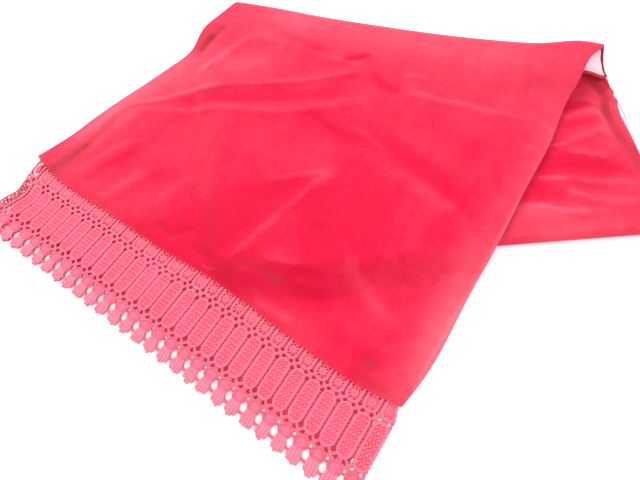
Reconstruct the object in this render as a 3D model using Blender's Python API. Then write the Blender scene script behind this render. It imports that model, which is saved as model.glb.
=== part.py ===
"""A velvet shawl with guipure lace on its end, folded in half along its length and laid flat.

The folded cloth runs away from the lace, turns back over itself at a slanting ridge, comes out
at the right under the front and is turned under once more at a soft lower edge. Lengths are in
metres. The pieces are worked out in the seam's frame: x is 0 at the front's right edge and falls
to the left, y is 0 at the seam between velvet and lace and rises towards the ridge, z is 0 on
the floor. The last lines move everything so that the origin is under the middle of the shawl.
"""

import math

import bpy
import numpy as np

# Cloth and air
WALL = 0.0020
LINING_WALL = 0.0010
SEAM_GAP = 0.0003
LAYER_AIR = 0.0005
FRONT_EASE = 0.0018
EDGE_EASE = 0.0009

# Front of the folded cloth, with the round fold that joins its two halves at the left
FRONT_LEFT = (  # share of the way to the ridge, x of the folded edge
    (0.00, -0.4670),
    (0.05, -0.4690),
    (0.16, -0.4622),
    (0.27, -0.4572),
    (0.38, -0.4510),
    (0.54, -0.4396),
    (0.66, -0.4318),
    (0.76, -0.4256),
    (0.84, -0.4220),
    (0.92, -0.4160),
    (1.00, -0.4125),
)
HALF_FOLD_RADIUS = 0.0026
HALF_FOLD_LIP = 0.008
UNDER_EDGE_INSET = 0.0012

# Slanting ridge where the folded cloth turns back
RIDGE = (  # x, y of the ridge's crown, height of the crown
    (-0.430, 0.296, 0.0270),
    (-0.366, 0.3155, 0.0260),
    (-0.302, 0.330, 0.0262),
    (-0.229, 0.3485, 0.0274),
    (-0.155, 0.3695, 0.0286),
    (-0.104, 0.3855, 0.0303),
    (-0.060, 0.402, 0.0322),
    (-0.026, 0.422, 0.0340),
    (0.000, 0.430, 0.0336),
)
RIDGE_ANGLE = math.radians(17.0)
RIDGE_SLOPE_LENGTH = 0.085
RIDGE_TAIL = 0.0170
REAR_MARGIN = 0.0085
LOOP_TURNS = np.linspace(0.0, math.pi, 7)
INNER_LOOP_BACK = 0.018
INNER_LOOP_DROP = 0.0065
INNER_LOOP_SLOPE_LENGTH = 0.052
INNER_LOOP_SHIFT = 0.42
INNER_LOOP_SHARE = 1.034
INNER_LOOP_MARGIN = 0.0028

# Stack of hidden layers, with its corner at the right, turned under along its lower edge
CORNER = np.array((0.125, 0.266))
EDGE_DIRECTION = np.array((0.80, 0.60))
LENGTH_DIRECTION = np.array((-0.60, 0.80))
STACK_WIDTH = 0.392
STACK_LENGTH = 0.350
STACK_SPREAD = 0.028
SEAM_RISE_LENGTH = 0.026
STACK_SLOPE_LENGTH = 0.038
STACK_SIDE_MARGIN = 0.012
STACK_EDGE_MARGIN = 0.003
STACK_TOP = 0.0120
HIDDEN_TOP = 0.0090
TURN_RADIUS = 0.00565
TURN_LIP = 0.0060

# Guipure lace: one medallion, one long oval, one ball and one tassel on every column
PITCH = 0.016
COLUMNS = 28
BAND_START = 0.0005
MEDALLION_CENTRE = 0.0072
MEDALLION_END = 0.0160
OVAL_CENTRE = 0.0382
OVAL_SPINE = 0.0138
BAND_END = 0.0592
STRIP_END = 0.0612
BALL_END = 0.0682
TASSEL_END = 0.0835
TASSEL_LEAN = 0.16
CORD_CREST = 0.0010
LACE_WALL = 0.0012
TOP_LACE_BASE = 0.0030
UNDER_LACE_RISE = 0.009
LACE_END_ROUND = (  # x, height of the outer face where the lace turns under at the left fold
    (-0.4483, 0.0030),
    (-0.4525, 0.0035),
    (-0.4570, 0.0041),
    (-0.4608, 0.0034),
    (-0.4623, 0.0021),
    (-0.4608, 0.0007),
    (-0.4575, 0.0000),
    (-0.4483, 0.0000),
)

FRONT_CREASES = (  # start x, y, middle x, y, end x, y, rise, half width
    (-0.418, 0.111, -0.339, 0.188, -0.220, 0.285, 0.0034, 0.013),
    (-0.370, 0.200, -0.358, 0.268, -0.250, 0.281, 0.0026, 0.013),
    (-0.417, 0.090, -0.302, 0.175, -0.226, 0.214, 0.0018, 0.012),
    (-0.206, 0.034, -0.190, 0.100, -0.170, 0.165, 0.0030, 0.018),
    (-0.134, 0.287, -0.048, 0.303, -0.008, 0.310, 0.0018, 0.012),
    (-0.154, 0.224, -0.094, 0.221, -0.046, 0.196, -0.0013, 0.015),
    (-0.125, 0.117, -0.112, 0.104, -0.101, 0.092, 0.0014, 0.010),
    (-0.300, 0.060, -0.285, 0.090, -0.260, 0.120, 0.0022, 0.016),
)
BACK_CREASES = (  # start x, y, middle x, y, end x, y, rise, half width
    (0.006, 0.221, 0.037, 0.232, 0.063, 0.246, 0.0017, 0.006),
    (0.004, 0.256, 0.030, 0.268, 0.078, 0.291, 0.0015, 0.006),
    (0.004, 0.304, 0.024, 0.312, 0.053, 0.311, 0.0013, 0.007),
    (0.031, 0.362, 0.046, 0.344, 0.071, 0.308, 0.0014, 0.007),
)
OUTER_VALLEY_IN = 0.013
OUTER_VALLEY_WIDTH = 0.008
OUTER_VALLEY_DEPTH = 0.0022
BACK_SWELL = 0.0024


def smooth(t):
    """A soft step from 0 to 1: three t squared less two t cubed, held outside 0 to 1."""
    t = np.clip(t, 0.0, 1.0)
    return t * t * (3.0 - 2.0 * t)


def read_table(table, column, at):
    """Value of a table's column at `at` along its first column, on a smooth cubic through its rows."""
    rows = np.array(table)
    keys = rows[:, 0]
    values = rows[:, column]
    slopes = np.gradient(values, keys)
    at = np.clip(at, keys[0], keys[-1])
    i = np.clip(np.searchsorted(keys, at) - 1, 0, len(keys) - 2)
    span = keys[i + 1] - keys[i]
    t = (at - keys[i]) / span
    start = values[i] * (1 + 2 * t) * (1 - t) ** 2 + slopes[i] * span * t * (1 - t) ** 2
    end = values[i + 1] * t * t * (3 - 2 * t) - slopes[i + 1] * span * t * t * (1 - t)
    return start + end


def ridge_y(x):
    return read_table(RIDGE, 1, x)


def ridge_top(x):
    return read_table(RIDGE, 2, x)


def to_strip(x, y):
    """How far a point lies up the hidden stack from its lower edge, and in from its outer edge."""
    dx = x - CORNER[0]
    dy = y - CORNER[1]
    up = dx * LENGTH_DIRECTION[0] + dy * LENGTH_DIRECTION[1]
    inward = -(dx * EDGE_DIRECTION[0] + dy * EDGE_DIRECTION[1])
    return up, inward


def from_strip(up, inward):
    x = CORNER[0] + up * LENGTH_DIRECTION[0] - inward * EDGE_DIRECTION[0]
    y = CORNER[1] + up * LENGTH_DIRECTION[1] - inward * EDGE_DIRECTION[1]
    return x, y


def crease_heights(x, y, creases):
    """Sum of soft ridges, each a bell across its distance to a line through three points."""
    total = np.zeros_like(x)
    for ax, ay, bx, by, cx, cy, rise, width in creases:
        nearest = np.full_like(x, np.inf)
        for px, py, qx, qy in ((ax, ay, bx, by), (bx, by, cx, cy)):
            length2 = (qx - px) ** 2 + (qy - py) ** 2
            t = np.clip(((x - px) * (qx - px) + (y - py) * (qy - py)) / length2, 0, 1)
            away = np.hypot(x - px - t * (qx - px), y - py - t * (qy - py))
            nearest = np.minimum(nearest, away)
        total += rise * np.exp(-((nearest / width) ** 2))
    return total


def before_ridge(x, y):
    """Distance from the ridge's crown, negative on the front."""
    return (y - ridge_y(x)) * math.cos(RIDGE_ANGLE)


def under_height(x, y):
    """Height of the underside of the front's lower half: the floor, the stack, or the inner loop."""
    up, inward = to_strip(x, y)
    over_edge = smooth((up + STACK_EDGE_MARGIN + STACK_SLOPE_LENGTH) / STACK_SLOPE_LENGTH)
    width = STACK_WIDTH + STACK_SPREAD * np.clip(up / STACK_LENGTH, 0.0, 1.0)
    side = width + STACK_SIDE_MARGIN + STACK_SLOPE_LENGTH
    over_side = smooth((side - inward) / STACK_SLOPE_LENGTH)
    on_stack = over_edge * over_side * smooth(y / SEAM_RISE_LENGTH)
    bed = STACK_TOP * on_stack
    loop = ridge_top(x) - INNER_LOOP_DROP - WALL
    start = -INNER_LOOP_BACK - INNER_LOOP_SLOPE_LENGTH
    near = smooth((before_ridge(x, y) - start) / INNER_LOOP_SLOPE_LENGTH)
    return bed + (loop - bed) * near


def front_height(x, y, edge):
    """Height of the front's velvet face; edge is 0 along its edges and 1 inside them."""
    ease = FRONT_EASE + crease_heights(x, y, FRONT_CREASES)
    ease = EDGE_EASE + (ease - EDGE_EASE) * edge
    laid = under_height(x, y) + WALL + LAYER_AIR + ease + WALL
    near = smooth(1.0 + before_ridge(x, y) / RIDGE_SLOPE_LENGTH)
    return laid + (ridge_top(x) - laid) * near


def front_plan(share, across):
    """Plan of the front: share runs from seam to ridge, across from the left fold to the right."""
    x = read_table(FRONT_LEFT, 1, share) * (1.0 - across)
    return x, share * ridge_y(x)


def loop_points(x, start_y, top, bottom, turn, tail, shift):
    """A turn of the cloth about the slanting ridge: it rolls over a round of its own height, then
    runs back flat, and moves along the ridge in proportion to the cloth that has gone over."""
    radius = (top - bottom) / 2.0
    rolled = radius * turn + tail
    away = radius * np.sin(turn) - tail
    slide = shift * rolled
    px = x - math.sin(RIDGE_ANGLE) * away + math.cos(RIDGE_ANGLE) * slide
    py = start_y + math.cos(RIDGE_ANGLE) * away + math.sin(RIDGE_ANGLE) * slide
    pz = top - radius * (1.0 - np.cos(turn))
    return np.stack([px, py, pz], axis=-1)


def front_loop(x, turn, tail):
    """The front's velvet face over the ridge, down to the floor."""
    return loop_points(x, ridge_y(x), ridge_top(x), 0.0, turn, tail, math.tan(RIDGE_ANGLE))


def grid_faces(rows, columns):
    """Triangles of a grid of points kept row by row, all cut along the same diagonal."""
    corner = np.arange(rows * columns).reshape(rows, columns)
    a, b, c, d = corner[:-1, :-1], corner[:-1, 1:], corner[1:, 1:], corner[1:, :-1]
    return np.stack([a, b, c, a, c, d], axis=-1).reshape(-1, 3).tolist()


def make_material(name, colour, roughness):
    material = bpy.data.materials.new(name)
    material.use_nodes = True
    shader = material.node_tree.nodes["Principled BSDF"]
    shader.inputs["Base Color"].default_value = (*colour, 1.0)
    shader.inputs["Roughness"].default_value = roughness
    shader.inputs["Metallic"].default_value = 0.0
    return material


def add_object(name, points, faces, material):
    mesh = bpy.data.meshes.new(name)
    mesh.from_pydata([tuple(point) for point in points.tolist()], [], faces)
    mesh.materials.append(material)
    mesh.shade_smooth()
    made = bpy.data.objects.new(name, mesh)
    bpy.context.scene.collection.objects.link(made)
    return made


def add_wall(name, grid, thickness, material):
    """A closed wall whose outer face is the grid, with its thickness laid on behind that face."""
    rows, columns = grid.shape[:2]
    made = add_object(name, grid.reshape(-1, 3), grid_faces(rows, columns), material)
    solidify = made.modifiers.new("thickness", "SOLIDIFY")
    solidify.thickness = thickness
    solidify.offset = -1.0
    solidify.use_quality_normals = True
    return made


def half_fold(edge, lip):
    """Columns of points that carry a wall's left edge round a small radius and back underneath."""
    along = np.gradient(edge, axis=0)
    share = np.linspace(0.0, 1.0, len(edge))[:, None]
    left = np.concatenate([-1.0 + 0.0 * share, 0.0 * share, 0.0 * share], axis=1)
    out = np.cross(along, left)
    out /= np.linalg.norm(out, axis=1)[:, None]
    columns = [edge + left * -lip - out * 2 * HALF_FOLD_RADIUS]
    for turn in (math.pi, 0.75 * math.pi, 0.5 * math.pi, 0.25 * math.pi):
        side = left * HALF_FOLD_RADIUS * math.sin(turn)
        columns.append(edge + side - out * HALF_FOLD_RADIUS * (1.0 - math.cos(turn)))
    return np.stack(columns, axis=1)


def front_grid():
    """Shares of the way across and up the front at which both of its halves have their points."""
    return np.meshgrid(np.linspace(0.0, 1.0, 22), np.linspace(0.0, 1.0, 21) ** 1.2)


def make_front(material):
    """Upper half of the front, from the round left fold to the right edge and over the ridge."""
    u, v = front_grid()
    x, y = front_plan(v, u)
    inside = smooth(u / 0.05) * smooth((1.0 - u) / 0.06) * smooth(v / 0.06)
    laid = np.stack([x, y, front_height(x, y, inside)], axis=-1)
    crown = x[-1]
    rows = [front_loop(crown, turn, 0.0) for turn in LOOP_TURNS[1:]]
    rows.append(front_loop(crown, math.pi, RIDGE_TAIL))
    face = np.concatenate([laid, np.stack(rows)], axis=0)
    fold = half_fold(face[:, 0], HALF_FOLD_LIP)
    return add_wall("front_panel", np.concatenate([fold, face], axis=1), WALL, material)


def make_under(material):
    """Lower half of the front, which shows along its edges. It shares the upper half's plan."""
    u, v = front_grid()
    x, y = front_plan(v, u)
    x[:, 0] = x[:, 0] + HALF_FOLD_LIP + 3.0 * SEAM_GAP
    x[:, -1] = -UNDER_EDGE_INSET
    y[0] = UNDER_LACE_RISE * (1.0 + x[0] / (PITCH * COLUMNS)).clip(0.0, 1.0)
    y[-1] = ridge_y(x[-1]) - (INNER_LOOP_BACK + INNER_LOOP_MARGIN) / math.cos(RIDGE_ANGLE)
    x = np.delete(x, -2, axis=0)
    y = np.delete(y, -2, axis=0)
    grid = np.stack([x, y, under_height(x, y) + WALL], axis=-1)
    return add_wall("under_panel", grid, WALL, material)


def back_rise(x, y):
    """Height of the back's velvet face over its lowest level: a swell, a valley and its creases."""
    up, inward = to_strip(x, y)
    shown = smooth(x / 0.022)
    valley = np.exp(-(((inward - OUTER_VALLEY_IN) / OUTER_VALLEY_WIDTH) ** 2))
    valley *= smooth((up - 0.04) / 0.08)
    rise = BACK_SWELL - OUTER_VALLEY_DEPTH * valley + crease_heights(x, y, BACK_CREASES)
    return rise * shown * smooth((up - 0.001) / 0.020)


def make_back(material):
    """The cloth that comes out under the front: inner loop, shown stretch and soft lower edge."""
    inward = np.array([0, 4, 9, 15, 23, 34, 48, 64, 82, 102, 126, 160, 225, 310, 391]) / 1000.0
    x = -inward * INNER_LOOP_SHARE
    start_y = ridge_y(x) - INNER_LOOP_BACK / math.cos(RIDGE_ANGLE)
    level = HIDDEN_TOP + SEAM_GAP
    top = ridge_top(x) - INNER_LOOP_DROP
    rows = []
    for turn in LOOP_TURNS:
        rows.append(loop_points(x, start_y, top, level, turn, 0.0, INNER_LOOP_SHIFT))
    landed = rows[-1]
    end_x, end_y = from_strip(TURN_RADIUS, inward)
    for share in np.linspace(0.0, 1.0, 14)[1:]:
        px = landed[:, 0] + (end_x - landed[:, 0]) * share
        py = landed[:, 1] + (end_y - landed[:, 1]) * share
        rise = back_rise(px, py) * smooth(share / 0.10)
        rows.append(np.stack([px, py, level + rise], axis=-1))
    inner = TURN_RADIUS - WALL
    centre = level - inner
    for turn in np.linspace(0.0, math.pi, 6)[1:]:
        px, py = from_strip(TURN_RADIUS - inner * math.sin(turn), inward)
        height = np.full_like(px, centre + inner * math.cos(turn))
        rows.append(np.stack([px, py, height], axis=-1))
    px, py = from_strip(TURN_RADIUS + TURN_LIP, inward)
    rows.append(np.stack([px, py, np.full_like(px, centre - inner)], axis=-1))
    made = add_wall("back_panel", np.stack(rows), WALL, material)
    made.modifiers["thickness"].offset = 1.0
    return made


def strip_start(inward):
    """How far up the stack its rear face lies, just behind the tail of the front's loop."""
    up = np.full_like(inward, 0.2)
    for _ in range(30):
        x, y = from_strip(up, inward)
        gap = RIDGE_TAIL + REAR_MARGIN
        up = up + (ridge_y(x) - gap / math.cos(RIDGE_ANGLE) - y)
    return up


def make_hidden(material):
    """The layers under the back and the front as one rounded solid with three lips at its edge."""
    ring = [(0.0070, 0.0), (0.0050, 0.0006), (0.0050, 0.0022), (0.0095, 0.0028), (0.0095, 0.0032)]
    ring += [(0.0025, 0.0037), (0.0025, 0.0055), (0.0090, 0.0060), (0.0090, 0.0064)]
    ring += [(0.0040, 0.0069), (0.0042, 0.0084), (0.0060, HIDDEN_TOP)]
    ring += [(at, HIDDEN_TOP) for at in (0.05, 0.12, 0.20, 0.30, STACK_WIDTH - 0.006)]
    ring += [(STACK_WIDTH - 0.003, 0.0070), (STACK_WIDTH - 0.003, 0.0020), (STACK_WIDTH - 0.006, 0.0)]
    ring += [(0.30, 0.0), (0.20, 0.0), (0.12, 0.0), (0.05, 0.0)]
    inward, height = np.array(ring).T
    end = TURN_RADIUS + TURN_LIP + SEAM_GAP
    start = strip_start(inward)
    points = []
    stations = np.linspace(0.0, 1.0, 9)
    for share in stations:
        spread = 1.0 + STACK_SPREAD / STACK_WIDTH * share
        x, y = from_strip(end + (start - end) * share, inward * spread)
        points.append(np.stack([x, y, height], axis=-1))
    count = len(ring)
    faces = []
    for i in range(len(stations) - 1):
        for j in range(count):
            k = (j + 1) % count
            faces.append((i * count + k, i * count + j, (i + 1) * count + j, (i + 1) * count + k))
    faces.append(tuple(range(count)))
    last = (len(stations) - 1) * count
    faces.append(tuple(last + j for j in reversed(range(count))))
    return add_object("hidden_layers", np.concatenate(points), faces, material)


def make_fold_lining(material):
    """The lining inside the open end of the ridge, made from the front's points, moved inwards."""
    inset = WALL + LAYER_AIR + SEAM_GAP
    x = np.linspace(-0.062, -0.0015, 6)
    rows = []
    for turn, tail in [(t, 0.0) for t in LOOP_TURNS[1:]] + [(math.pi, 0.008)]:
        top = ridge_top(x) - inset
        shift = math.tan(RIDGE_ANGLE) * (1.0 + 2.0 * inset / (ridge_top(x) - 2.0 * inset))
        rows.append(loop_points(x, ridge_y(x), top, inset, turn, tail, shift))
    return add_wall("fold_lining", np.stack(rows), LINING_WALL, material)


def lace_point(along, down, height, layer):
    """A point of a lace layer: along from the right end, down from the seam, height over its base."""
    rise = layer["rise"] * max(0.0, 1.0 - along / (PITCH * COLUMNS))
    return (-along, rise - down, layer["base"] + height)


def ring_round(border, half_spine, radius):
    """Points round a line of the given half length, each towards its own point of the border."""
    points = []
    for bx, by in border:
        on_line = max(-half_spine, min(half_spine, by))
        reach = math.hypot(bx, by - on_line)
        points.append((bx / reach * radius, on_line + (by - on_line) / reach * radius))
    return points


def add_motif(add, faces, centre, border, half_spine, radii, heights):
    """Rings of faces from a cell's border in to its middle, as a raised cord round a flat fill."""
    cx, cy = centre
    rings = [[add(cx + bx, cy + by, 0.0) for bx, by in border]]
    for radius, height in zip(radii, heights):
        ring = ring_round(border, half_spine, radius)
        rings.append([add(cx + bx, cy + by, height) for bx, by in ring])
    for outer, inner in zip(rings, rings[1:]):
        for i in range(len(border)):
            j = (i + 1) % len(border)
            faces.append((outer[i], outer[j], inner[j], inner[i]))
    if half_spine:
        ends = [add(cx, cy - half_spine, heights[-1]), add(cx, cy + half_spine, heights[-1])]
    else:
        ends = [add(cx, cy, heights[0])]
    nearest = [ends[0] if by < 0.5 * half_spine or not half_spine else ends[-1] for _, by in border]
    for i in range(len(border)):
        j = (i + 1) % len(border)
        a, b = rings[-1][i], rings[-1][j]
        if nearest[i] == nearest[j]:
            faces.append((a, b, nearest[i]))
        else:
            faces.append((a, b, nearest[j], nearest[i]))


def make_lace_band(name, first, last, layer, material):
    """A lace band: cords raised round each medallion and oval, over a plain underside."""
    points = []
    index = {}
    faces = []

    def add(along, down, height):
        key = (round(along, 7), round(down, 7), round(height, 7))
        if key not in index:
            index[key] = len(points)
            points.append(lace_point(along, down, height, layer))
        return index[key]

    half = PITCH / 2.0
    crest = layer["crest"]
    head = MEDALLION_CENTRE - BAND_START
    foot = MEDALLION_END - MEDALLION_CENTRE
    small = [(-half, -head), (0, -head), (half, -head), (half, 0)]
    small += [(half, foot), (0, foot), (-half, foot), (-half, 0)]
    top = OVAL_CENTRE - MEDALLION_END
    low = BAND_END - OVAL_CENTRE
    long = [(-half, -top), (0, -top), (half, -top), (half, -OVAL_SPINE), (half, 0), (half, OVAL_SPINE)]
    long += [(half, low), (0, low), (-half, low), (-half, OVAL_SPINE), (-half, 0), (-half, -OVAL_SPINE)]
    for column in range(first, last):
        cx = (column + 0.5) * PITCH
        add_motif(add, faces, (cx, MEDALLION_CENTRE), small, 0.0, (0.0058, 0.0042), (crest, 0.0))
        add_motif(add, faces, (cx, OVAL_CENTRE), long, OVAL_SPINE, (0.0061, 0.0046), (crest, 0.0))
    steps = np.arange(2 * first, 2 * last + 1) * half
    heads = [(add(at, BAND_START, 0.0), add(at, BAND_START, -LACE_WALL)) for at in steps]
    feet = [(add(at, BAND_END, 0.0), add(at, BAND_END, -LACE_WALL)) for at in steps]
    for i in range(len(steps) - 1):
        faces.append((heads[i][1], heads[i + 1][1], heads[i + 1][0], heads[i][0]))
        faces.append((feet[i][0], feet[i + 1][0], feet[i + 1][1], feet[i][1]))
        faces.append((heads[i + 1][1], heads[i][1], feet[i][1], feet[i + 1][1]))
    downs = [BAND_START, MEDALLION_CENTRE, MEDALLION_END, OVAL_CENTRE - OVAL_SPINE, OVAL_CENTRE]
    downs += [OVAL_CENTRE + OVAL_SPINE, BAND_END]
    for side, at in ((0, steps[0]), (-1, steps[-1])):
        tops = [add(at, down, 0.0) for down in downs]
        fan = [(heads[side][1], tops[i], tops[i + 1]) for i in range(len(tops) - 1)]
        fan.append((heads[side][1], feet[side][0], feet[side][1]))
        faces += [tri[::-1] for tri in fan] if side == -1 else fan
    return add_object(name, np.array(points), faces, material)


def make_plain_band(name, first, last, layer, material):
    """A lace band with no relief, for the layer that another one covers."""
    along = np.linspace(first * PITCH, last * PITCH, last - first + 1)
    head = [lace_point(at, BAND_START, 0.0, layer) for at in along]
    foot = [lace_point(at, BAND_END, 0.0, layer) for at in along]
    return add_wall(name, np.array([head, foot]), LACE_WALL, material)


def make_lace_fold(material):
    """The stretch of lace that goes round the left fold and joins the upper band to the lower."""
    x, height = np.array(LACE_END_ROUND).T
    rows = []
    for down in np.linspace(BAND_START, BAND_END, 6)[::-1]:
        rows.append(np.stack([x, np.full_like(x, -down), height], axis=-1))
    made = add_wall("lace_fold", np.stack(rows)[:, ::-1], LACE_WALL, material)
    return made


def make_fringe(name, first, last, strands, layer, material):
    """A narrow strip with a ball on every column, and a tassel of flat strands below each ball."""
    points = []
    index = {}
    faces = []

    def add(along, down, height):
        key = (round(along, 7), round(down, 7), round(height, 7))
        if key not in index:
            index[key] = len(points)
            points.append(lace_point(along, down, height, layer))
        return index[key]

    half_ball = 0.0030
    widest = 0.0041
    middle = (STRIP_END + BALL_END) / 2.0
    strip_start_down = BAND_END + SEAM_GAP
    for column in range(first, last):
        cx = (column + 0.5) * PITCH
        marks = [cx - PITCH / 2, cx - half_ball, cx + half_ball, cx + PITCH / 2]
        for left, right in zip(marks, marks[1:]):
            upper = add(left, strip_start_down, 0.0), add(right, strip_start_down, 0.0)
            lower = add(left, STRIP_END, 0.0), add(right, STRIP_END, 0.0)
            faces.append((upper[0], upper[1], lower[1], lower[0]))
        roots = [cx + half_ball * (2.0 * i / strands - 1.0) for i in range(strands + 1)]
        crown = add(cx, middle, layer["crest"])
        rim = [add(cx - half_ball, STRIP_END, 0.0), add(cx + half_ball, STRIP_END, 0.0)]
        rim.append(add(cx + widest, middle, 0.0))
        rim += [add(at, BALL_END, 0.0) for at in reversed(roots)]
        rim.append(add(cx - widest, middle, 0.0))
        for i in range(len(rim)):
            faces.append((rim[i], rim[(i + 1) % len(rim)], crown))
        for i in range(strands):
            fan = (i + 0.5) / strands - 0.5
            ragged = 0.0012 * math.sin(2.4 * column + 1.9 * i)
            end = TASSEL_END - abs(fan) * 0.003 + ragged
            tip = cx - TASSEL_LEAN * (end - BALL_END) + fan * 0.0142
            width = 0.0012
            low = (add(tip - width, end, -layer["drop"]), add(tip + width, end, -layer["drop"]))
            root = add(roots[i], BALL_END, 0.0), add(roots[i + 1], BALL_END, 0.0)
            faces.append((root[0], root[1], low[1], low[0]))
    made = add_object(name, np.array(points), faces, material)
    solidify = made.modifiers.new("thickness", "SOLIDIFY")
    solidify.thickness = LACE_WALL
    solidify.offset = -1.0
    return made


def centre_on_floor(made):
    """Moves every mesh so that the origin lies under the middle of the whole."""
    bpy.context.view_layer.update()
    graph = bpy.context.evaluated_depsgraph_get()
    corners = []
    for item in made:
        evaluated = item.evaluated_get(graph)
        mesh = evaluated.to_mesh()
        flat = np.empty(len(mesh.vertices) * 3, np.float32)
        mesh.vertices.foreach_get("co", flat)
        evaluated.to_mesh_clear()
        points = flat.reshape(-1, 3)
        corners.append((points.min(axis=0), points.max(axis=0)))
    low = np.min([pair[0] for pair in corners], axis=0)
    high = np.max([pair[1] for pair in corners], axis=0)
    middle = (low + high) / 2.0
    for item in made:
        item.location = (-float(middle[0]), -float(middle[1]), 0.0)
    print("seam frame's origin is at", -middle[:2])


def main():
    for item in list(bpy.data.objects):
        bpy.data.objects.remove(item)
    velvet = make_material("velvet", (0.78, 0.012, 0.055), 0.75)
    shade = make_material("velvet_underside", (0.60, 0.010, 0.045), 0.80)
    lining = make_material("lining", (0.92, 0.72, 0.78), 0.55)
    lace = make_material("guipure_lace", (0.86, 0.10, 0.17), 0.70)
    top = {"base": TOP_LACE_BASE, "crest": CORD_CREST, "rise": 0.0, "drop": 0.0}
    low = {"base": LACE_WALL, "crest": 0.0003, "rise": UNDER_LACE_RISE, "drop": -0.0002}
    made = [
        make_front(velvet),
        make_under(shade),
        make_back(velvet),
        make_hidden(shade),
        make_fold_lining(lining),
        make_lace_band("top_lace", 0, COLUMNS, top, lace),
        make_fringe("top_fringe", 0, COLUMNS + 1, 4, top, lace),
        make_lace_fold(lace),
        make_plain_band("under_lace", 1, COLUMNS, low, lace),
        make_fringe("under_fringe", 1, COLUMNS, 3, low, lace),
    ]
    centre_on_floor(made)


main()
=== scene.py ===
"""Looks of a folded velvet shawl with a guipure lace end, lying on a pale floor.

Every piece is worked out in the seam's frame: x is 0 at the front's right edge and falls to the
left, y is 0 at the seam between velvet and lace and rises towards the ridge, z is 0 on the floor.
"""

import math

import bpy
import numpy as np
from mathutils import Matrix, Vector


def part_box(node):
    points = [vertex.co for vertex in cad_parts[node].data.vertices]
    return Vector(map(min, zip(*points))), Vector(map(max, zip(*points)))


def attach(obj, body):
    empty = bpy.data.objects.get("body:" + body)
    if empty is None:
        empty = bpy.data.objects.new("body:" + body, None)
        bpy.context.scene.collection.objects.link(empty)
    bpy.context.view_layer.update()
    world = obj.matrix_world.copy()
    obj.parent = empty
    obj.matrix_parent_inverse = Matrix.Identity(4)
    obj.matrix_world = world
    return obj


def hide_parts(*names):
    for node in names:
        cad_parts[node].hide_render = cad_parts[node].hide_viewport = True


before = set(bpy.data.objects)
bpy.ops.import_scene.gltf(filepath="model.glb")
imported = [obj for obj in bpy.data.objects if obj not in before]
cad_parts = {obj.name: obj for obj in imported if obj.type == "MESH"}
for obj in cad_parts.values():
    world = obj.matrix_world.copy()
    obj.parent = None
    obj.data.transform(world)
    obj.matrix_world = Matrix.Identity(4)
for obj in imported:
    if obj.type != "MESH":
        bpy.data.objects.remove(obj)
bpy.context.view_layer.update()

# Where the seam's frame lies in the row's frame
# The upper lace ends at the front's right edge, and starts half a millimetre below the seam.
SEAM_ORIGIN = np.array((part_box("top_lace")[1][0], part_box("top_lace")[1][1] + 0.0005, 0.0))


# Camera and light
# A small camera held close above the lace, looking down over the shawl on a white table,
# under broad soft light from the left and above.
CAMERA_AT = (-0.0193, -0.0410, 0.3820)
CAMERA_YAW = math.radians(42.84)
CAMERA_DOWN = math.radians(64.36)
CAMERA_ROLL = math.radians(-10.02)
CAMERA_FOCUS = 430.0
PICTURE_WIDTH = 640.0
FILM_WIDTH = 36.0


def point_camera():
    """Camera whose view runs down by the pitch, round by the yaw and is turned by the roll."""
    level = np.array((-math.sin(CAMERA_YAW), math.cos(CAMERA_YAW), 0.0))
    right = np.array((math.cos(CAMERA_YAW), math.sin(CAMERA_YAW), 0.0))
    down = np.array((0.0, 0.0, -1.0))
    view = level * math.cos(CAMERA_DOWN) + down * math.sin(CAMERA_DOWN)
    upward = level * math.sin(CAMERA_DOWN) - down * math.cos(CAMERA_DOWN)
    across = right * math.cos(CAMERA_ROLL) + upward * math.sin(CAMERA_ROLL)
    upright = upward * math.cos(CAMERA_ROLL) - right * math.sin(CAMERA_ROLL)
    lens = bpy.data.cameras.new("close_camera")
    lens.sensor_width = FILM_WIDTH
    lens.lens = CAMERA_FOCUS / PICTURE_WIDTH * FILM_WIDTH
    lens.clip_start = 0.01
    lens.clip_end = 20.0
    made = bpy.data.objects.new("close_camera", lens)
    columns = np.eye(4)
    columns[:3, 0] = across
    columns[:3, 1] = upright
    columns[:3, 2] = -view
    columns[:3, 3] = np.array(CAMERA_AT) + SEAM_ORIGIN
    made.matrix_world = columns.T.tolist()
    bpy.context.scene.collection.objects.link(made)
    bpy.context.scene.camera = made


def add_light(name, at, aim, width, power):
    """A square soft light at a place in the seam's frame, turned towards another place."""
    light = bpy.data.lights.new(name, "AREA")
    light.size = width
    light.energy = power
    made = bpy.data.objects.new(name, light)
    back = np.array(at) - np.array(aim)
    back /= np.linalg.norm(back)
    side = np.cross((0.0, 1.0, 0.0), back)
    side /= np.linalg.norm(side)
    columns = np.eye(4)
    columns[:3, 0] = side
    columns[:3, 1] = np.cross(back, side)
    columns[:3, 2] = back
    columns[:3, 3] = np.array(at) + SEAM_ORIGIN
    made.matrix_world = columns.T.tolist()
    bpy.context.scene.collection.objects.link(made)


point_camera()
add_light("window", (-0.85, 1.05, 0.62), (-0.2, 0.15, 0.0), 0.8, 19.0)
add_light("ceiling", (0.30, -0.30, 1.3), (-0.1, 0.1, 0.0), 1.0, 13.0)
world = bpy.data.worlds.new("white_room")
world.use_nodes = True
world.node_tree.nodes["Background"].inputs["Color"].default_value = (1.0, 0.98, 0.97, 1.0)
world.node_tree.nodes["Background"].inputs["Strength"].default_value = 0.80
bpy.context.scene.world = world
bpy.context.scene.view_settings.view_transform = "Standard"
bpy.context.scene.view_settings.look = "None"


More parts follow.
